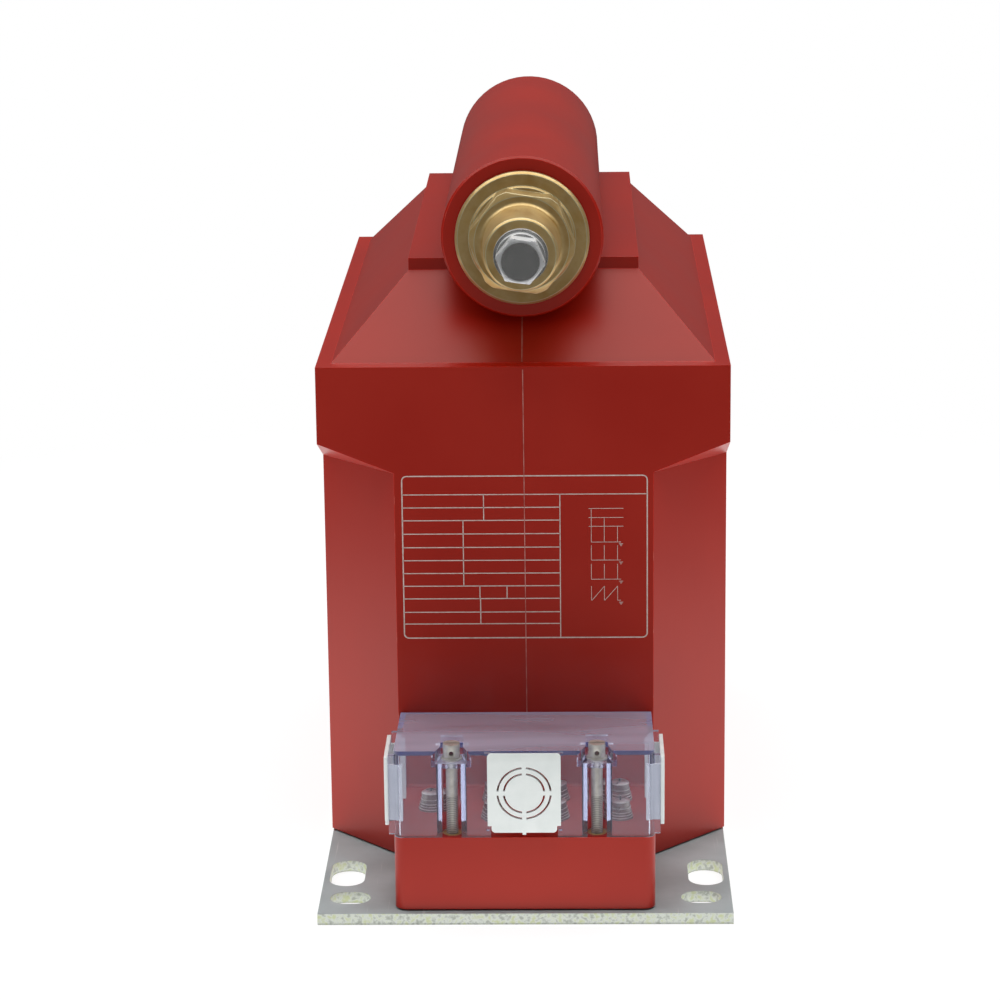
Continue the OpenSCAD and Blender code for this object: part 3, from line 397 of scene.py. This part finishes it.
wires, wires_end = (80.38, 85.91, 91.55), 93.03
phases, phase_left, phase_right = (14.47, 18.48, 22.32), 79.33, 94.08
first_joint, delta_top = 29.29, 49.04
coil_tops, coil_feet = (30.73, 39.01, 48.82), (37.27, 45.77, 55.14)
sketch = [(phase_left, phase, phase_right, phase) for phase in phases]
sketch += [(wires[0], joint, wires_end, joint) for joint in (first_joint, *coil_feet[:2])]
sketch += [(wire, phase, wire, first_joint) for wire, phase in zip(wires, phases)]
sketch += [(wire, top, wire, foot) for wire in wires for top, foot in zip(coil_tops, coil_feet)]
sketch += [
    (80.60, coil_feet[2], 85.74, delta_top), (86.08, coil_feet[2], 91.39, delta_top),
    (wires[2], coil_feet[2], wires_end, coil_feet[2]),
]
earth_marks = ((0.0, 0.84), (0.44, 0.55), (0.87, 0.25))
sketch += [
    (wires_end - half, down + lower, wires_end + half, down + lower)
    for down in (30.08, 38.14, 46.64, 56.01) for lower, half in earth_marks
]

outline = []
for right_side, upper, start in ((1, 1, 0), (0, 1, 90), (0, 0, 180), (1, 0, 270)):
    across = table_w_mm - corner_mm if right_side else corner_mm
    down = corner_mm if upper else table_h_mm - corner_mm
    for step in range(corner_steps + 1):
        turn = math.radians(start + 90 * step / corner_steps)
        outline.append((across + corner_mm * math.cos(turn), down - corner_mm * math.sin(turn)))

printed = [(line_mm, line) for line in rules] + [(sketch_line_mm, line) for line in sketch]
printed += [
    (frame_line_mm, (*start, *end)) for start, end in zip(outline, outline[1:] + outline[:1])
]
lines = bmesh.new()
for width_mm, (across, down, last_across, last_down) in printed:
    ends = on_face(across, down), on_face(last_across, last_down)
    flat_bar(lines, *ends, width_mm, ink_mm, (0, -1, 0))
bmesh.ops.recalc_face_normals(lines, faces=lines.faces)
stand_for(lines, "rating_table_lines", None, ink)


# Active part, sealed in the resin: a wound steel core with its strap, three secondary
# windings and the primary on one limb, and the wires to the terminals and the fuse.
# None of it shows; each piece has the plain finish of what it is made of.
along_strip = (1.0, 0.05, 1.0)
along_wire = (1.0, 0.08, 1.0)
evenly = (1.0, 1.0, 1.0)


def inner_material(name, light, dark, grain_mm, metallic, roughness, stretch=evenly):
    """A hidden piece's finish: two tones of its material, in grains of their real size."""
    material, shader, place = new_material(name)
    way = add(material, "ShaderNodeMapping", {"Vector": place, "Scale": stretch}).outputs[0]
    grain = add(
        material, "ShaderNodeTexNoise", {"Vector": way, "Scale": each(grain_mm), "Detail": 4.0}
    ).outputs[0]
    set_sockets(shader, {
        "Base Color": add(
            material, "ShaderNodeValToRGB", {"Fac": grain}, [(0.35, dark), (0.65, light)]
        ).outputs[0],
        "Normal": add(
            material, "ShaderNodeBump", {"Height": grain, "Strength": 0.2, "Distance": 0.00005}
        ).outputs[0],
        "Metallic": metallic,
        "Roughness": roughness,
    })
    return material


def finish(nodes, material):
    """Gives CAD nodes that stay as they are their material."""
    for node in nodes:
        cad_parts[node].data.materials.clear()
        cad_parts[node].data.materials.append(material)


finish(
    ("base_bolts", "base_inserts"),
    inner_material("plain_steel_fixings", "#6E6F70", "#545556", 1.5, 1.0, 0.42),
)
finish(
    ("iron_core",),
    inner_material("wound_silicon_steel", "#5A5C60", "#3E4044", 0.4, 1.0, 0.45, along_strip),
)
finish(("core_band",), inner_material("bright_steel_strap", "#B4B4B2", "#8E8F8E", 1.2, 1.0, 0.35))
finish(
    ("core_earth_lead",),
    inner_material("green_yellow_insulation", "#9AA83A", "#6E8C2C", 3.0, 0.0, 0.45),
)
finish(("winding_tube",), inner_material("pressboard_tube", "#C8AE7C", "#A88C5C", 1.8, 0.0, 0.75))
finish(
    ("measuring_winding_1", "measuring_winding_2", "residual_winding"),
    inner_material("enamelled_copper_wire", "#B87444", "#7E4426", 1.0, 0.9, 0.35, along_wire),
)
finish(("insulation_barrier",), inner_material("wrapped_film", "#DCCFA4", "#C4B488", 4.0, 0.0, 0.5))
finish(
    ("primary_winding",),
    inner_material("fine_enamelled_copper_wire", "#A65A34", "#6E3520", 0.5, 0.9, 0.38, along_wire),
)
finish(
    ("primary_lead", "neutral_lead", "secondary_leads"),
    inner_material("black_wire_insulation", "#222224", "#141416", 2.0, 0.0, 0.5),
)
finish(
    ("fuse_barrel",), inner_material("glazed_porcelain_barrel", "#E2DDCB", "#D2CBB6", 5.0, 0.0, 0.3)
)
finish(
    ("fuse_end_caps",), inner_material("silver_plated_caps", "#C9C8C4", "#A8A7A2", 2.5, 1.0, 0.25)
)
finish(
    ("contact_spring",), inner_material("oiled_spring_wire", "#7A7A7C", "#58585A", 0.8, 1.0, 0.35)
)
finish(("cap_seal",), inner_material("nitrile_rubber_ring", "#1E1E1E", "#141414", 0.6, 0.0, 0.6))


# Fuse plug: turned from brass bar, with a wide flange, a hexagon for the spanner and a boss
# for the terminal bolt. It screws into a brass ring cast in the tube's mouth.
# The lathe's rings are drawn coarser than they are, so that they show and turn its highlights.
brass_edge_mm = 0.22
turning_mm = 2.2


def wave_each(pitch_mm):
    """The wave texture's scale at which its waves repeat at this pitch."""
    return each(pitch_mm) * math.pi / 10


brass, shader, place = new_material("turned_brass")
from_axis = add(
    brass, "ShaderNodeMapping",
    {"Vector": place, "Location": (0.0, 0.0, -tube_axis_z_mm / 1000), "Scale": (1.0, 0.0, 1.0)},
).outputs[0]
uneven = {"Scale": wave_each(turning_mm), "Distortion": 0.4, "Detail": 1.0}
rings = add(
    brass, "ShaderNodeTexWave", {"Vector": from_axis, **uneven},
    wave_type="RINGS", rings_direction="SPHERICAL",
).outputs["Fac"]
feed = add(
    brass, "ShaderNodeTexWave", {"Vector": place, **uneven}, wave_type="BANDS", bands_direction="Y"
).outputs["Fac"]
relief = add(brass, "ShaderNodeMath", {0: rings, 1: feed}, operation="ADD").outputs[0]
cloud = add(
    brass, "ShaderNodeTexNoise", {"Vector": place, "Scale": each(11), "Detail": 4.0}
).outputs[0]
soft_tone = add(
    brass, "ShaderNodeValToRGB", {"Fac": cloud},
    [(0.3, "#C4A062"), (0.5, "#D3B881"), (0.7, "#C9A96C")],
).outputs[0]
# The rounded edges are painted a pale brass as a painted highlight.
is_rounded = add(brass, "ShaderNodeAttribute", attribute_name="rounded_edge").outputs["Fac"]
set_sockets(shader, {
    "Base Color": add(
        brass, "ShaderNodeMix", {0: is_rounded, 6: soft_tone, 7: linear("#D6CDA6")},
        data_type="RGBA",
    ).outputs[2],
    "Roughness": add(
        brass, "ShaderNodeMapRange",
        {"Value": cloud, "From Min": 0.3, "From Max": 0.7, "To Min": 0.3, "To Max": 0.38},
    ).outputs[0],
    "Normal": add(
        brass, "ShaderNodeBump", {"Height": relief, "Strength": 0.6, "Distance": 0.00005}
    ).outputs[0],
    "Metallic": 0.7,
})

plug = rounded_copy("fuse_cap", brass_edge_mm, sharp_deg=28)
stand_for(plug, "screw_plug", "fuse_cap", brass)
finish(("cap_ring", "rear_contact", "cover_inserts"), brass)


# High-voltage terminal: an M12 hexagon bolt with its spring and plain washer, steel, bright
# zinc plated. They clamp the busbar's lug to the plug, and the head's end is plain.
# The sides are painted paler than the ends as a painted highlight, and are duller.
hardware_edge_mm = 0.22
end_from = 0.9

bright_zinc, shader, place = new_material("bright_zinc_plated_steel")
cloud = add(
    bright_zinc, "ShaderNodeTexNoise", {"Vector": place, "Scale": each(3.5), "Detail": 5.0}
).outputs[0]
end_tone = add(
    bright_zinc, "ShaderNodeValToRGB", {"Fac": cloud}, [(0.3, "#B4B5B4"), (0.7, "#C2C2C0")]
).outputs[0]
is_side = add(bright_zinc, "ShaderNodeAttribute", attribute_name="painted_light_side").outputs["Fac"]
pitted = add(
    bright_zinc, "ShaderNodeTexNoise", {"Vector": place, "Scale": each(0.5), "Detail": 3.0}
).outputs[0]
# The sides are painted pale as a painted highlight; the ends keep the plating's grey.
set_sockets(shader, {
    "Base Color": add(
        bright_zinc, "ShaderNodeMix", {0: is_side, 6: end_tone, 7: linear("#F4F5F6")},
        data_type="RGBA",
    ).outputs[2],
    "Roughness": add(
        bright_zinc, "ShaderNodeMapRange",
        {"Value": is_side, "From Min": 0.0, "From Max": 1.0, "To Min": 0.24, "To Max": 0.46},
    ).outputs[0],
    "Normal": add(
        bright_zinc, "ShaderNodeBump", {"Height": pitted, "Strength": 0.1, "Distance": 0.00003}
    ).outputs[0],
    "Metallic": 0.85,
})

for node, name in (
    ("hv_bolt", "terminal_bolt"), ("hv_spring_washer", "terminal_spring_washer"),
    ("hv_plain_washer", "terminal_washer"),
):
    part = rounded_copy(node, hardware_edge_mm)
    mark_faces(part, "painted_light_side", lambda face: 1.0 if abs(face.normal.y) < end_from else 0.0)
    stand_for(part, name, node, bright_zinc)


# Secondary terminals: seven M5 pan-head screws with spring and plain washers, nickel plated,
# in brass bushes whose collars show on top of the pedestal. The plating is warm grey, with
# painted shade on the sides and a painted highlight on the rims.
small_edge_mm = 0.12
side_below = 0.35

nickel, shader, place = new_material("dull_nickel_plating")
cloud = add(
    nickel, "ShaderNodeTexNoise", {"Vector": place, "Scale": each(2.4), "Detail": 5.0}
).outputs[0]
flat_tone = add(
    nickel, "ShaderNodeValToRGB", {"Fac": cloud},
    [(0.3, "#B9B2A7"), (0.6, "#DED8CD"), (0.8, "#C6BEB2")],
).outputs[0]
is_side = add(nickel, "ShaderNodeAttribute", attribute_name="painted_light_side").outputs["Fac"]
# The sides are darkened as painted shade.
sides_in_painted_shade = add(
    nickel, "ShaderNodeMix", {0: is_side, 6: flat_tone, 7: linear("#8A837A")}, data_type="RGBA"
).outputs[2]
# The rounded rims are painted near white as a painted highlight.
is_rounded = add(nickel, "ShaderNodeAttribute", attribute_name="rounded_edge").outputs["Fac"]
set_sockets(shader, {
    "Base Color": add(
        nickel, "ShaderNodeMix", {0: is_rounded, 6: sides_in_painted_shade, 7: linear("#F4F1EA")}, data_type="RGBA"
    ).outputs[2],
    "Roughness": add(
        nickel, "ShaderNodeMapRange",
        {"Value": cloud, "From Min": 0.3, "From Max": 0.7, "To Min": 0.26, "To Max": 0.38},
    ).outputs[0],
    "Metallic": 0.95,
})

for node, name in (
    ("terminal_inserts", "terminal_bushes"), ("terminal_plain_washers", "small_plain_washers"),
    ("terminal_clamp_washers", "small_clamp_washers"),
    ("terminal_spring_washers", "small_spring_washers"), ("terminal_screws", "terminal_pan_screws"),
):
    part = rounded_copy(node, small_edge_mm)
    mark_faces(part, "painted_light_side", lambda face: 1.0 if abs(face.normal.z) < side_below else 0.0)
    stand_for(part, name, node, nickel)


# Terminal cover: one moulding of clear polycarbonate with a faint violet tint. A thin film of
# dust lies on its top in long streaks. Its edges and wall ends carry pale lines of painted
# highlight, or violet lines of painted reflection high up and at the rear. Its shadow is nearly
# as bright as no shadow.
cover_edge_mm = 0.45
cover_least_edge_mm = 4.0
clear_haze, edge_highlight_share = 0.05, 0.8
film_thin, film_thick = 0.26, 0.48
upward, outward_end = 0.7, 0.9
top_above_m = 0.07
violet_above_m = 0.0705
rear_wall_y_m = -0.1345
foot_below_m = 0.045
rear_end, foot_end = 1.0, 0.5

clear_plastic, shader, place = new_material("clear_polycarbonate")
handled = add(
    clear_plastic, "ShaderNodeTexNoise", {"Vector": place, "Scale": each(14), "Detail": 5.0}
).outputs[0]
set_sockets(shader, {
    "Base Color": linear("#FAFAFF"),
    "Roughness": add(
        clear_plastic, "ShaderNodeMapRange",
        {"Value": handled, "From Min": 0.35, "From Max": 0.7, "To Min": 0.0, "To Max": 0.04},
    ).outputs[0],
    "IOR": 1.5,
    "Transmission Weight": 1.0,
})
streak_way = add(
    clear_plastic, "ShaderNodeMapping", {"Vector": place, "Scale": (0.2, 1.0, 1.0)}
).outputs[0]
streaks = add(
    clear_plastic, "ShaderNodeTexNoise", {"Vector": streak_way, "Scale": each(24), "Detail": 2.0}
).outputs[0]
film = add(
    clear_plastic, "ShaderNodeMapRange",
    {"Value": streaks, "From Min": 0.3, "From Max": 0.7, "To Min": film_thin, "To Max": film_thick},
).outputs[0]
is_top = add(clear_plastic, "ShaderNodeAttribute", attribute_name="dusty_top").outputs["Fac"]
top_film = add(
    clear_plastic, "ShaderNodeMath", {0: is_top, 1: film}, operation="MULTIPLY"
).outputs[0]
wall_end = add(clear_plastic, "ShaderNodeAttribute", attribute_name="wall_end").outputs["Fac"]
is_rear = add(
    clear_plastic, "ShaderNodeMath", {0: wall_end, 1: (rear_end + foot_end) / 2},
    operation="GREATER_THAN",
).outputs[0]
is_end = add(
    clear_plastic, "ShaderNodeMath", {0: wall_end, 1: foot_end / 2}, operation="GREATER_THAN"
).outputs[0]
is_rounded = add(
    clear_plastic, "ShaderNodeAttribute", attribute_name="rounded_edge"
).outputs["Fac"]
lined = add(
    clear_plastic, "ShaderNodeMath", {0: is_rounded, 1: is_end}, operation="MAXIMUM"
).outputs[0]
# Edges and wall ends take most of the diffuse as a painted highlight; all walls keep a faint haze.
haze_and_edge_highlight = add(
    clear_plastic, "ShaderNodeMapRange",
    {"Value": lined, "From Min": 0.0, "From Max": 1.0, "To Min": clear_haze, "To Max": edge_highlight_share},
).outputs[0]
dust_and_edge_highlight_share = add(
    clear_plastic, "ShaderNodeMath", {0: top_film, 1: haze_and_edge_highlight}, operation="MAXIMUM"
).outputs[0]
height = add(clear_plastic, "ShaderNodeSeparateXYZ", {0: place}).outputs["Z"]
is_high = add(
    clear_plastic, "ShaderNodeMath", {0: height, 1: violet_above_m}, operation="GREATER_THAN"
).outputs[0]
is_violet = add(
    clear_plastic, "ShaderNodeMath", {0: is_high, 1: is_rear}, operation="MAXIMUM"
).outputs[0]
# Painted edge colour: violet painted reflection high up and at the rear, pale painted highlight
# elsewhere.
painted_edge_tone = add(
    clear_plastic, "ShaderNodeMix", {0: is_violet, 6: linear("#DCE3F8"), 7: linear("#7F86C6")},
    data_type="RGBA",
).outputs[2]
film_and_painted_edge_tone = add(
    clear_plastic, "ShaderNodeMix", {0: lined, 6: linear("#BDBDD2"), 7: painted_edge_tone},
    data_type="RGBA",
).outputs[2]
film_and_edge_diffuse = add(clear_plastic, "ShaderNodeBsdfDiffuse", {"Color": film_and_painted_edge_tone}).outputs[0]
wall = add(
    clear_plastic, "ShaderNodeMixShader", {0: dust_and_edge_highlight_share, 1: shader.outputs[0], 2: film_and_edge_diffuse}
).outputs[0]
is_shadow = add(clear_plastic, "ShaderNodeLightPath").outputs["Is Shadow Ray"]
lets_through = add(
    clear_plastic, "ShaderNodeBsdfTransparent", {"Color": linear("#F6F6FC")}
).outputs[0]
set_sockets(clear_plastic.node_tree.nodes["Material Output"], {
    "Surface": add(
        clear_plastic, "ShaderNodeMixShader", {0: is_shadow, 1: wall, 2: lets_through}
    ).outputs[0],
    "Volume": add(
        clear_plastic, "ShaderNodeVolumeAbsorption", {"Color": linear("#BFCCF6"), "Density": 32.0}
    ).outputs[0],
})


def is_dusty(face):
    """One on the faces of the cover's top, zero elsewhere."""
    return 1.0 if face.normal.z > upward and face.calc_center_median().z > top_above_m else 0.0


def which_end(face):
    """Tells the rear ends of the walls from their feet, and both from the rest."""
    middle = face.calc_center_median()
    if face.normal.y > outward_end and middle.y > rear_wall_y_m:
        return rear_end
    return foot_end if face.normal.z < -outward_end and middle.z < foot_below_m else 0.0


cover = rounded_copy(
    "terminal_cover", cover_edge_mm, segments=1,
    chosen=lambda edge: edge.calc_length() > cover_least_edge_mm / 1000,
)
mark_faces(cover, "dusty_top", is_dusty)
mark_faces(cover, "wall_end", which_end)
stand_for(cover, "clear_cover", "terminal_cover", clear_plastic)


# Entry plates: three alike, moulded in white ABS, each with two rings of slits round the
# disc that is broken out for a cable. They slide down between the cover's rails.
# The mould's fine spark texture leaves them smooth, with a soft gloss.
plate_corner_mm = 0.18

white_abs, shader, place = new_material("white_moulded_abs")
soft = add(
    white_abs, "ShaderNodeTexNoise", {"Vector": place, "Scale": each(7), "Detail": 4.0}
).outputs[0]
sparked = add(
    white_abs, "ShaderNodeTexNoise", {"Vector": place, "Scale": each(0.4), "Detail": 2.0}
).outputs[0]
set_sockets(shader, {
    "Base Color": add(
        white_abs, "ShaderNodeValToRGB", {"Fac": soft}, [(0.3, "#DDE3E1"), (0.7, "#E6EBE9")]
    ).outputs[0],
    "Normal": add(
        white_abs, "ShaderNodeBump", {"Height": sparked, "Strength": 0.1, "Distance": 0.00003}
    ).outputs[0],
    "Roughness": 0.32,
    "IOR": 1.53,
})

for node, name in (
    ("front_entry_plate", "front_knock_out"), ("left_entry_plate", "left_knock_out"),
    ("right_entry_plate", "right_knock_out"),
):
    stand_for(rounded_copy(node, plate_corner_mm), name, node, white_abs)


# Cover screws: two long M5 screws with tall drilled heads for the sealing wire, steel, zinc
# plated and greyer than the big bolt, each on a thin washer in the cover's screw channel.
# The lower part of the shank carries a fine rolled thread, drawn as a bump and as darker
# bands of painted shade.
thread_pitch_mm = 0.8
thread_top_m = 0.054

screw_zinc, shader, place = new_material("zinc_plated_screw_steel")
cloud = add(
    screw_zinc, "ShaderNodeTexNoise", {"Vector": place, "Scale": each(2.5), "Detail": 5.0}
).outputs[0]
shank_tone = add(
    screw_zinc, "ShaderNodeValToRGB", {"Fac": cloud}, [(0.3, "#C4C0B8"), (0.7, "#DEDBD4")]
).outputs[0]
height = add(screw_zinc, "ShaderNodeSeparateXYZ", {0: place}).outputs["Z"]
is_threaded = add(
    screw_zinc, "ShaderNodeMath", {0: height, 1: thread_top_m}, operation="LESS_THAN"
).outputs[0]
turns = add(
    screw_zinc, "ShaderNodeTexWave", {"Vector": place, "Scale": wave_each(thread_pitch_mm)},
    wave_type="BANDS", bands_direction="Z",
).outputs["Fac"]
thread = add(
    screw_zinc, "ShaderNodeMath", {0: turns, 1: is_threaded}, operation="MULTIPLY"
).outputs[0]
# The thread's turns are darkened as painted shade and raised as a bump.
set_sockets(shader, {
    "Base Color": add(
        screw_zinc, "ShaderNodeMix", {0: thread, 6: shank_tone, 7: linear("#8E8A82")},
        data_type="RGBA",
    ).outputs[2],
    "Normal": add(
        screw_zinc, "ShaderNodeBump", {"Height": thread, "Strength": 0.5, "Distance": 0.00015}
    ).outputs[0],
    "Metallic": 0.65,
    "Roughness": 0.34,
})

for node, name in (("cover_screws", "long_cover_screws"), ("cover_screw_washers", "cover_washers")):
    stand_for(rounded_copy(node, small_edge_mm), name, node, screw_zinc)


# Studio: a plain white floor, soft panels above, behind and in front, and light off the floor.
# The floor is white to the camera and keeps the transformer's shadow. To every other ray it is
# an oval lit table that falls off to a dark room, a little brighter at both sides.
floor_reach_m = 6.0
paper_glow = 0.3
shadow_near_m, shadow_far_m, white_near = 0.25, 0.7, 0.75
oval_squeeze = 0.62
table_lit_m, table_dark_m, table_dark = 0.28, 0.4, 0.06
side_start_m, side_full_m, side_bright = 0.12, 0.27, 1.4
room_diffuse, room_gloss = 0.13, 0.07
lamp_height_m = 0.0005
white = (1.0, 1.0, 1.0, 1.0)

floor_white, shader, place = new_material("white_studio_floor")
rays = add(floor_white, "ShaderNodeLightPath").outputs
seen = add(
    floor_white, "ShaderNodeMath", {0: rays["Is Camera Ray"], 1: rays["Is Transmission Ray"]},
    operation="MAXIMUM",
).outputs[0]
away = add(floor_white, "ShaderNodeVectorMath", {0: place}, operation="LENGTH").outputs["Value"]
whitened = add(floor_white, "ShaderNodeMapRange", {
    "Value": away, "From Min": shadow_near_m, "From Max": shadow_far_m,
    "To Min": white_near, "To Max": 1.0,
}).outputs[0]
share = add(floor_white, "ShaderNodeMath", {0: seen, 1: whitened}, operation="MULTIPLY").outputs[0]
paper = add(floor_white, "ShaderNodeBsdfDiffuse", {"Color": linear("#F2F2F2")}).outputs[0]
glow = add(
    floor_white, "ShaderNodeEmission", {"Color": white, "Strength": paper_glow}
).outputs[0]
lit_paper = add(floor_white, "ShaderNodeAddShader", {0: paper, 1: glow}).outputs[0]
all_white = add(floor_white, "ShaderNodeEmission", {"Color": white, "Strength": 1.0}).outputs[0]
plain = add(
    floor_white, "ShaderNodeMixShader", {0: share, 1: lit_paper, 2: all_white}
).outputs[0]
oval_way = add(
    floor_white, "ShaderNodeMapping", {"Vector": place, "Scale": (oval_squeeze, 1.0, 1.0)}
).outputs[0]
oval = add(floor_white, "ShaderNodeVectorMath", {0: oval_way}, operation="LENGTH").outputs["Value"]
falloff = add(floor_white, "ShaderNodeMapRange", {
    "Value": oval, "From Min": table_lit_m, "From Max": table_dark_m,
    "To Min": 1.0, "To Max": table_dark,
}, interpolation_type="SMOOTHSTEP").outputs[0]
across = add(floor_white, "ShaderNodeSeparateXYZ", {0: place}).outputs["X"]
aside = add(floor_white, "ShaderNodeMath", {0: across}, operation="ABSOLUTE").outputs[0]
side_pool = add(floor_white, "ShaderNodeMapRange", {
    "Value": aside, "From Min": side_start_m, "From Max": side_full_m,
    "To Min": 1.0, "To Max": side_bright,
}).outputs[0]
shine = add(
    floor_white, "ShaderNodeMath", {0: falloff, 1: side_pool}, operation="MULTIPLY"
).outputs[0]
table = add(floor_white, "ShaderNodeEmission", {"Color": white, "Strength": shine}).outputs[0]
set_sockets(floor_white.node_tree.nodes["Material Output"], {
    "Surface": add(
        floor_white, "ShaderNodeMixShader", {0: seen, 1: table, 2: plain}
    ).outputs[0],
})

ground = bmesh.new()
bmesh.ops.create_grid(ground, x_segments=1, y_segments=1, size=floor_reach_m)
floor_mesh = bpy.data.meshes.new("studio_floor")
ground.to_mesh(floor_mesh)
ground.free()
floor_mesh.materials.append(floor_white)
floor = bpy.data.objects.new("studio_floor", floor_mesh)
bpy.context.scene.collection.objects.link(floor)

for name, watts, size_m, lamp_place, aimed_at, in_gloss in (
    ("overhead_panel", 66.0, (4.0, 2.4), (0.0, 0.5, 1.9), (0.0, 0.5, 0.0), True),
    ("rear_panel", 1.0, (4.0, 1.0), (0.0, 2.6, 0.55), (0.0, 0.0, 0.3), True),
    ("left_panel", 2.5, (1.0, 1.0), (-1.9, -0.9, 1.4), (0.0, -0.1, 0.2), True),
    ("right_panel", 2.5, (1.0, 1.0), (1.9, -0.9, 1.4), (0.0, -0.1, 0.2), True),
    ("front_overhead_panel", 7.0, (1.0, 0.6), (0.0, -0.85, 1.9), (0.0, -0.25, 0.0), False),
    ("light_off_the_floor", 110.0, (6.0, 6.0), (0.0, 0.0, lamp_height_m), (0.0, 0.0, 1.0), False),
):
    lamp_data = bpy.data.lights.new(name, "AREA")
    lamp_data.shape = "RECTANGLE"
    lamp_data.size, lamp_data.size_y = size_m
    lamp_data.energy = watts
    lamp = bpy.data.objects.new(name, lamp_data)
    bpy.context.scene.collection.objects.link(lamp)
    lamp.location = lamp_place
    lamp.rotation_mode = "QUATERNION"
    lamp.rotation_quaternion = (Vector(aimed_at) - Vector(lamp_place)).to_track_quat("-Z", "Y")
    lamp.visible_camera = False
    lamp.visible_transmission = False
    lamp.visible_glossy = in_gloss

studio = bpy.data.worlds.new("studio_air")
studio.use_nodes = True
bpy.context.scene.world = studio
rays = add(studio, "ShaderNodeLightPath").outputs
seen = add(
    studio, "ShaderNodeMath", {0: rays["Is Camera Ray"], 1: rays["Is Transmission Ray"]},
    operation="MAXIMUM",
).outputs[0]
room = add(studio, "ShaderNodeMapRange", {
    "Value": rays["Is Glossy Ray"], "From Min": 0.0, "From Max": 1.0,
    "To Min": room_diffuse, "To Max": room_gloss,
}).outputs[0]
set_sockets(studio.node_tree.nodes["Background"], {
    "Color": white,
    "Strength": add(
        studio, "ShaderNodeMath", {0: seen, 1: room}, operation="MAXIMUM"
    ).outputs[0],
})

bpy.context.scene.view_settings.view_transform = "Standard"
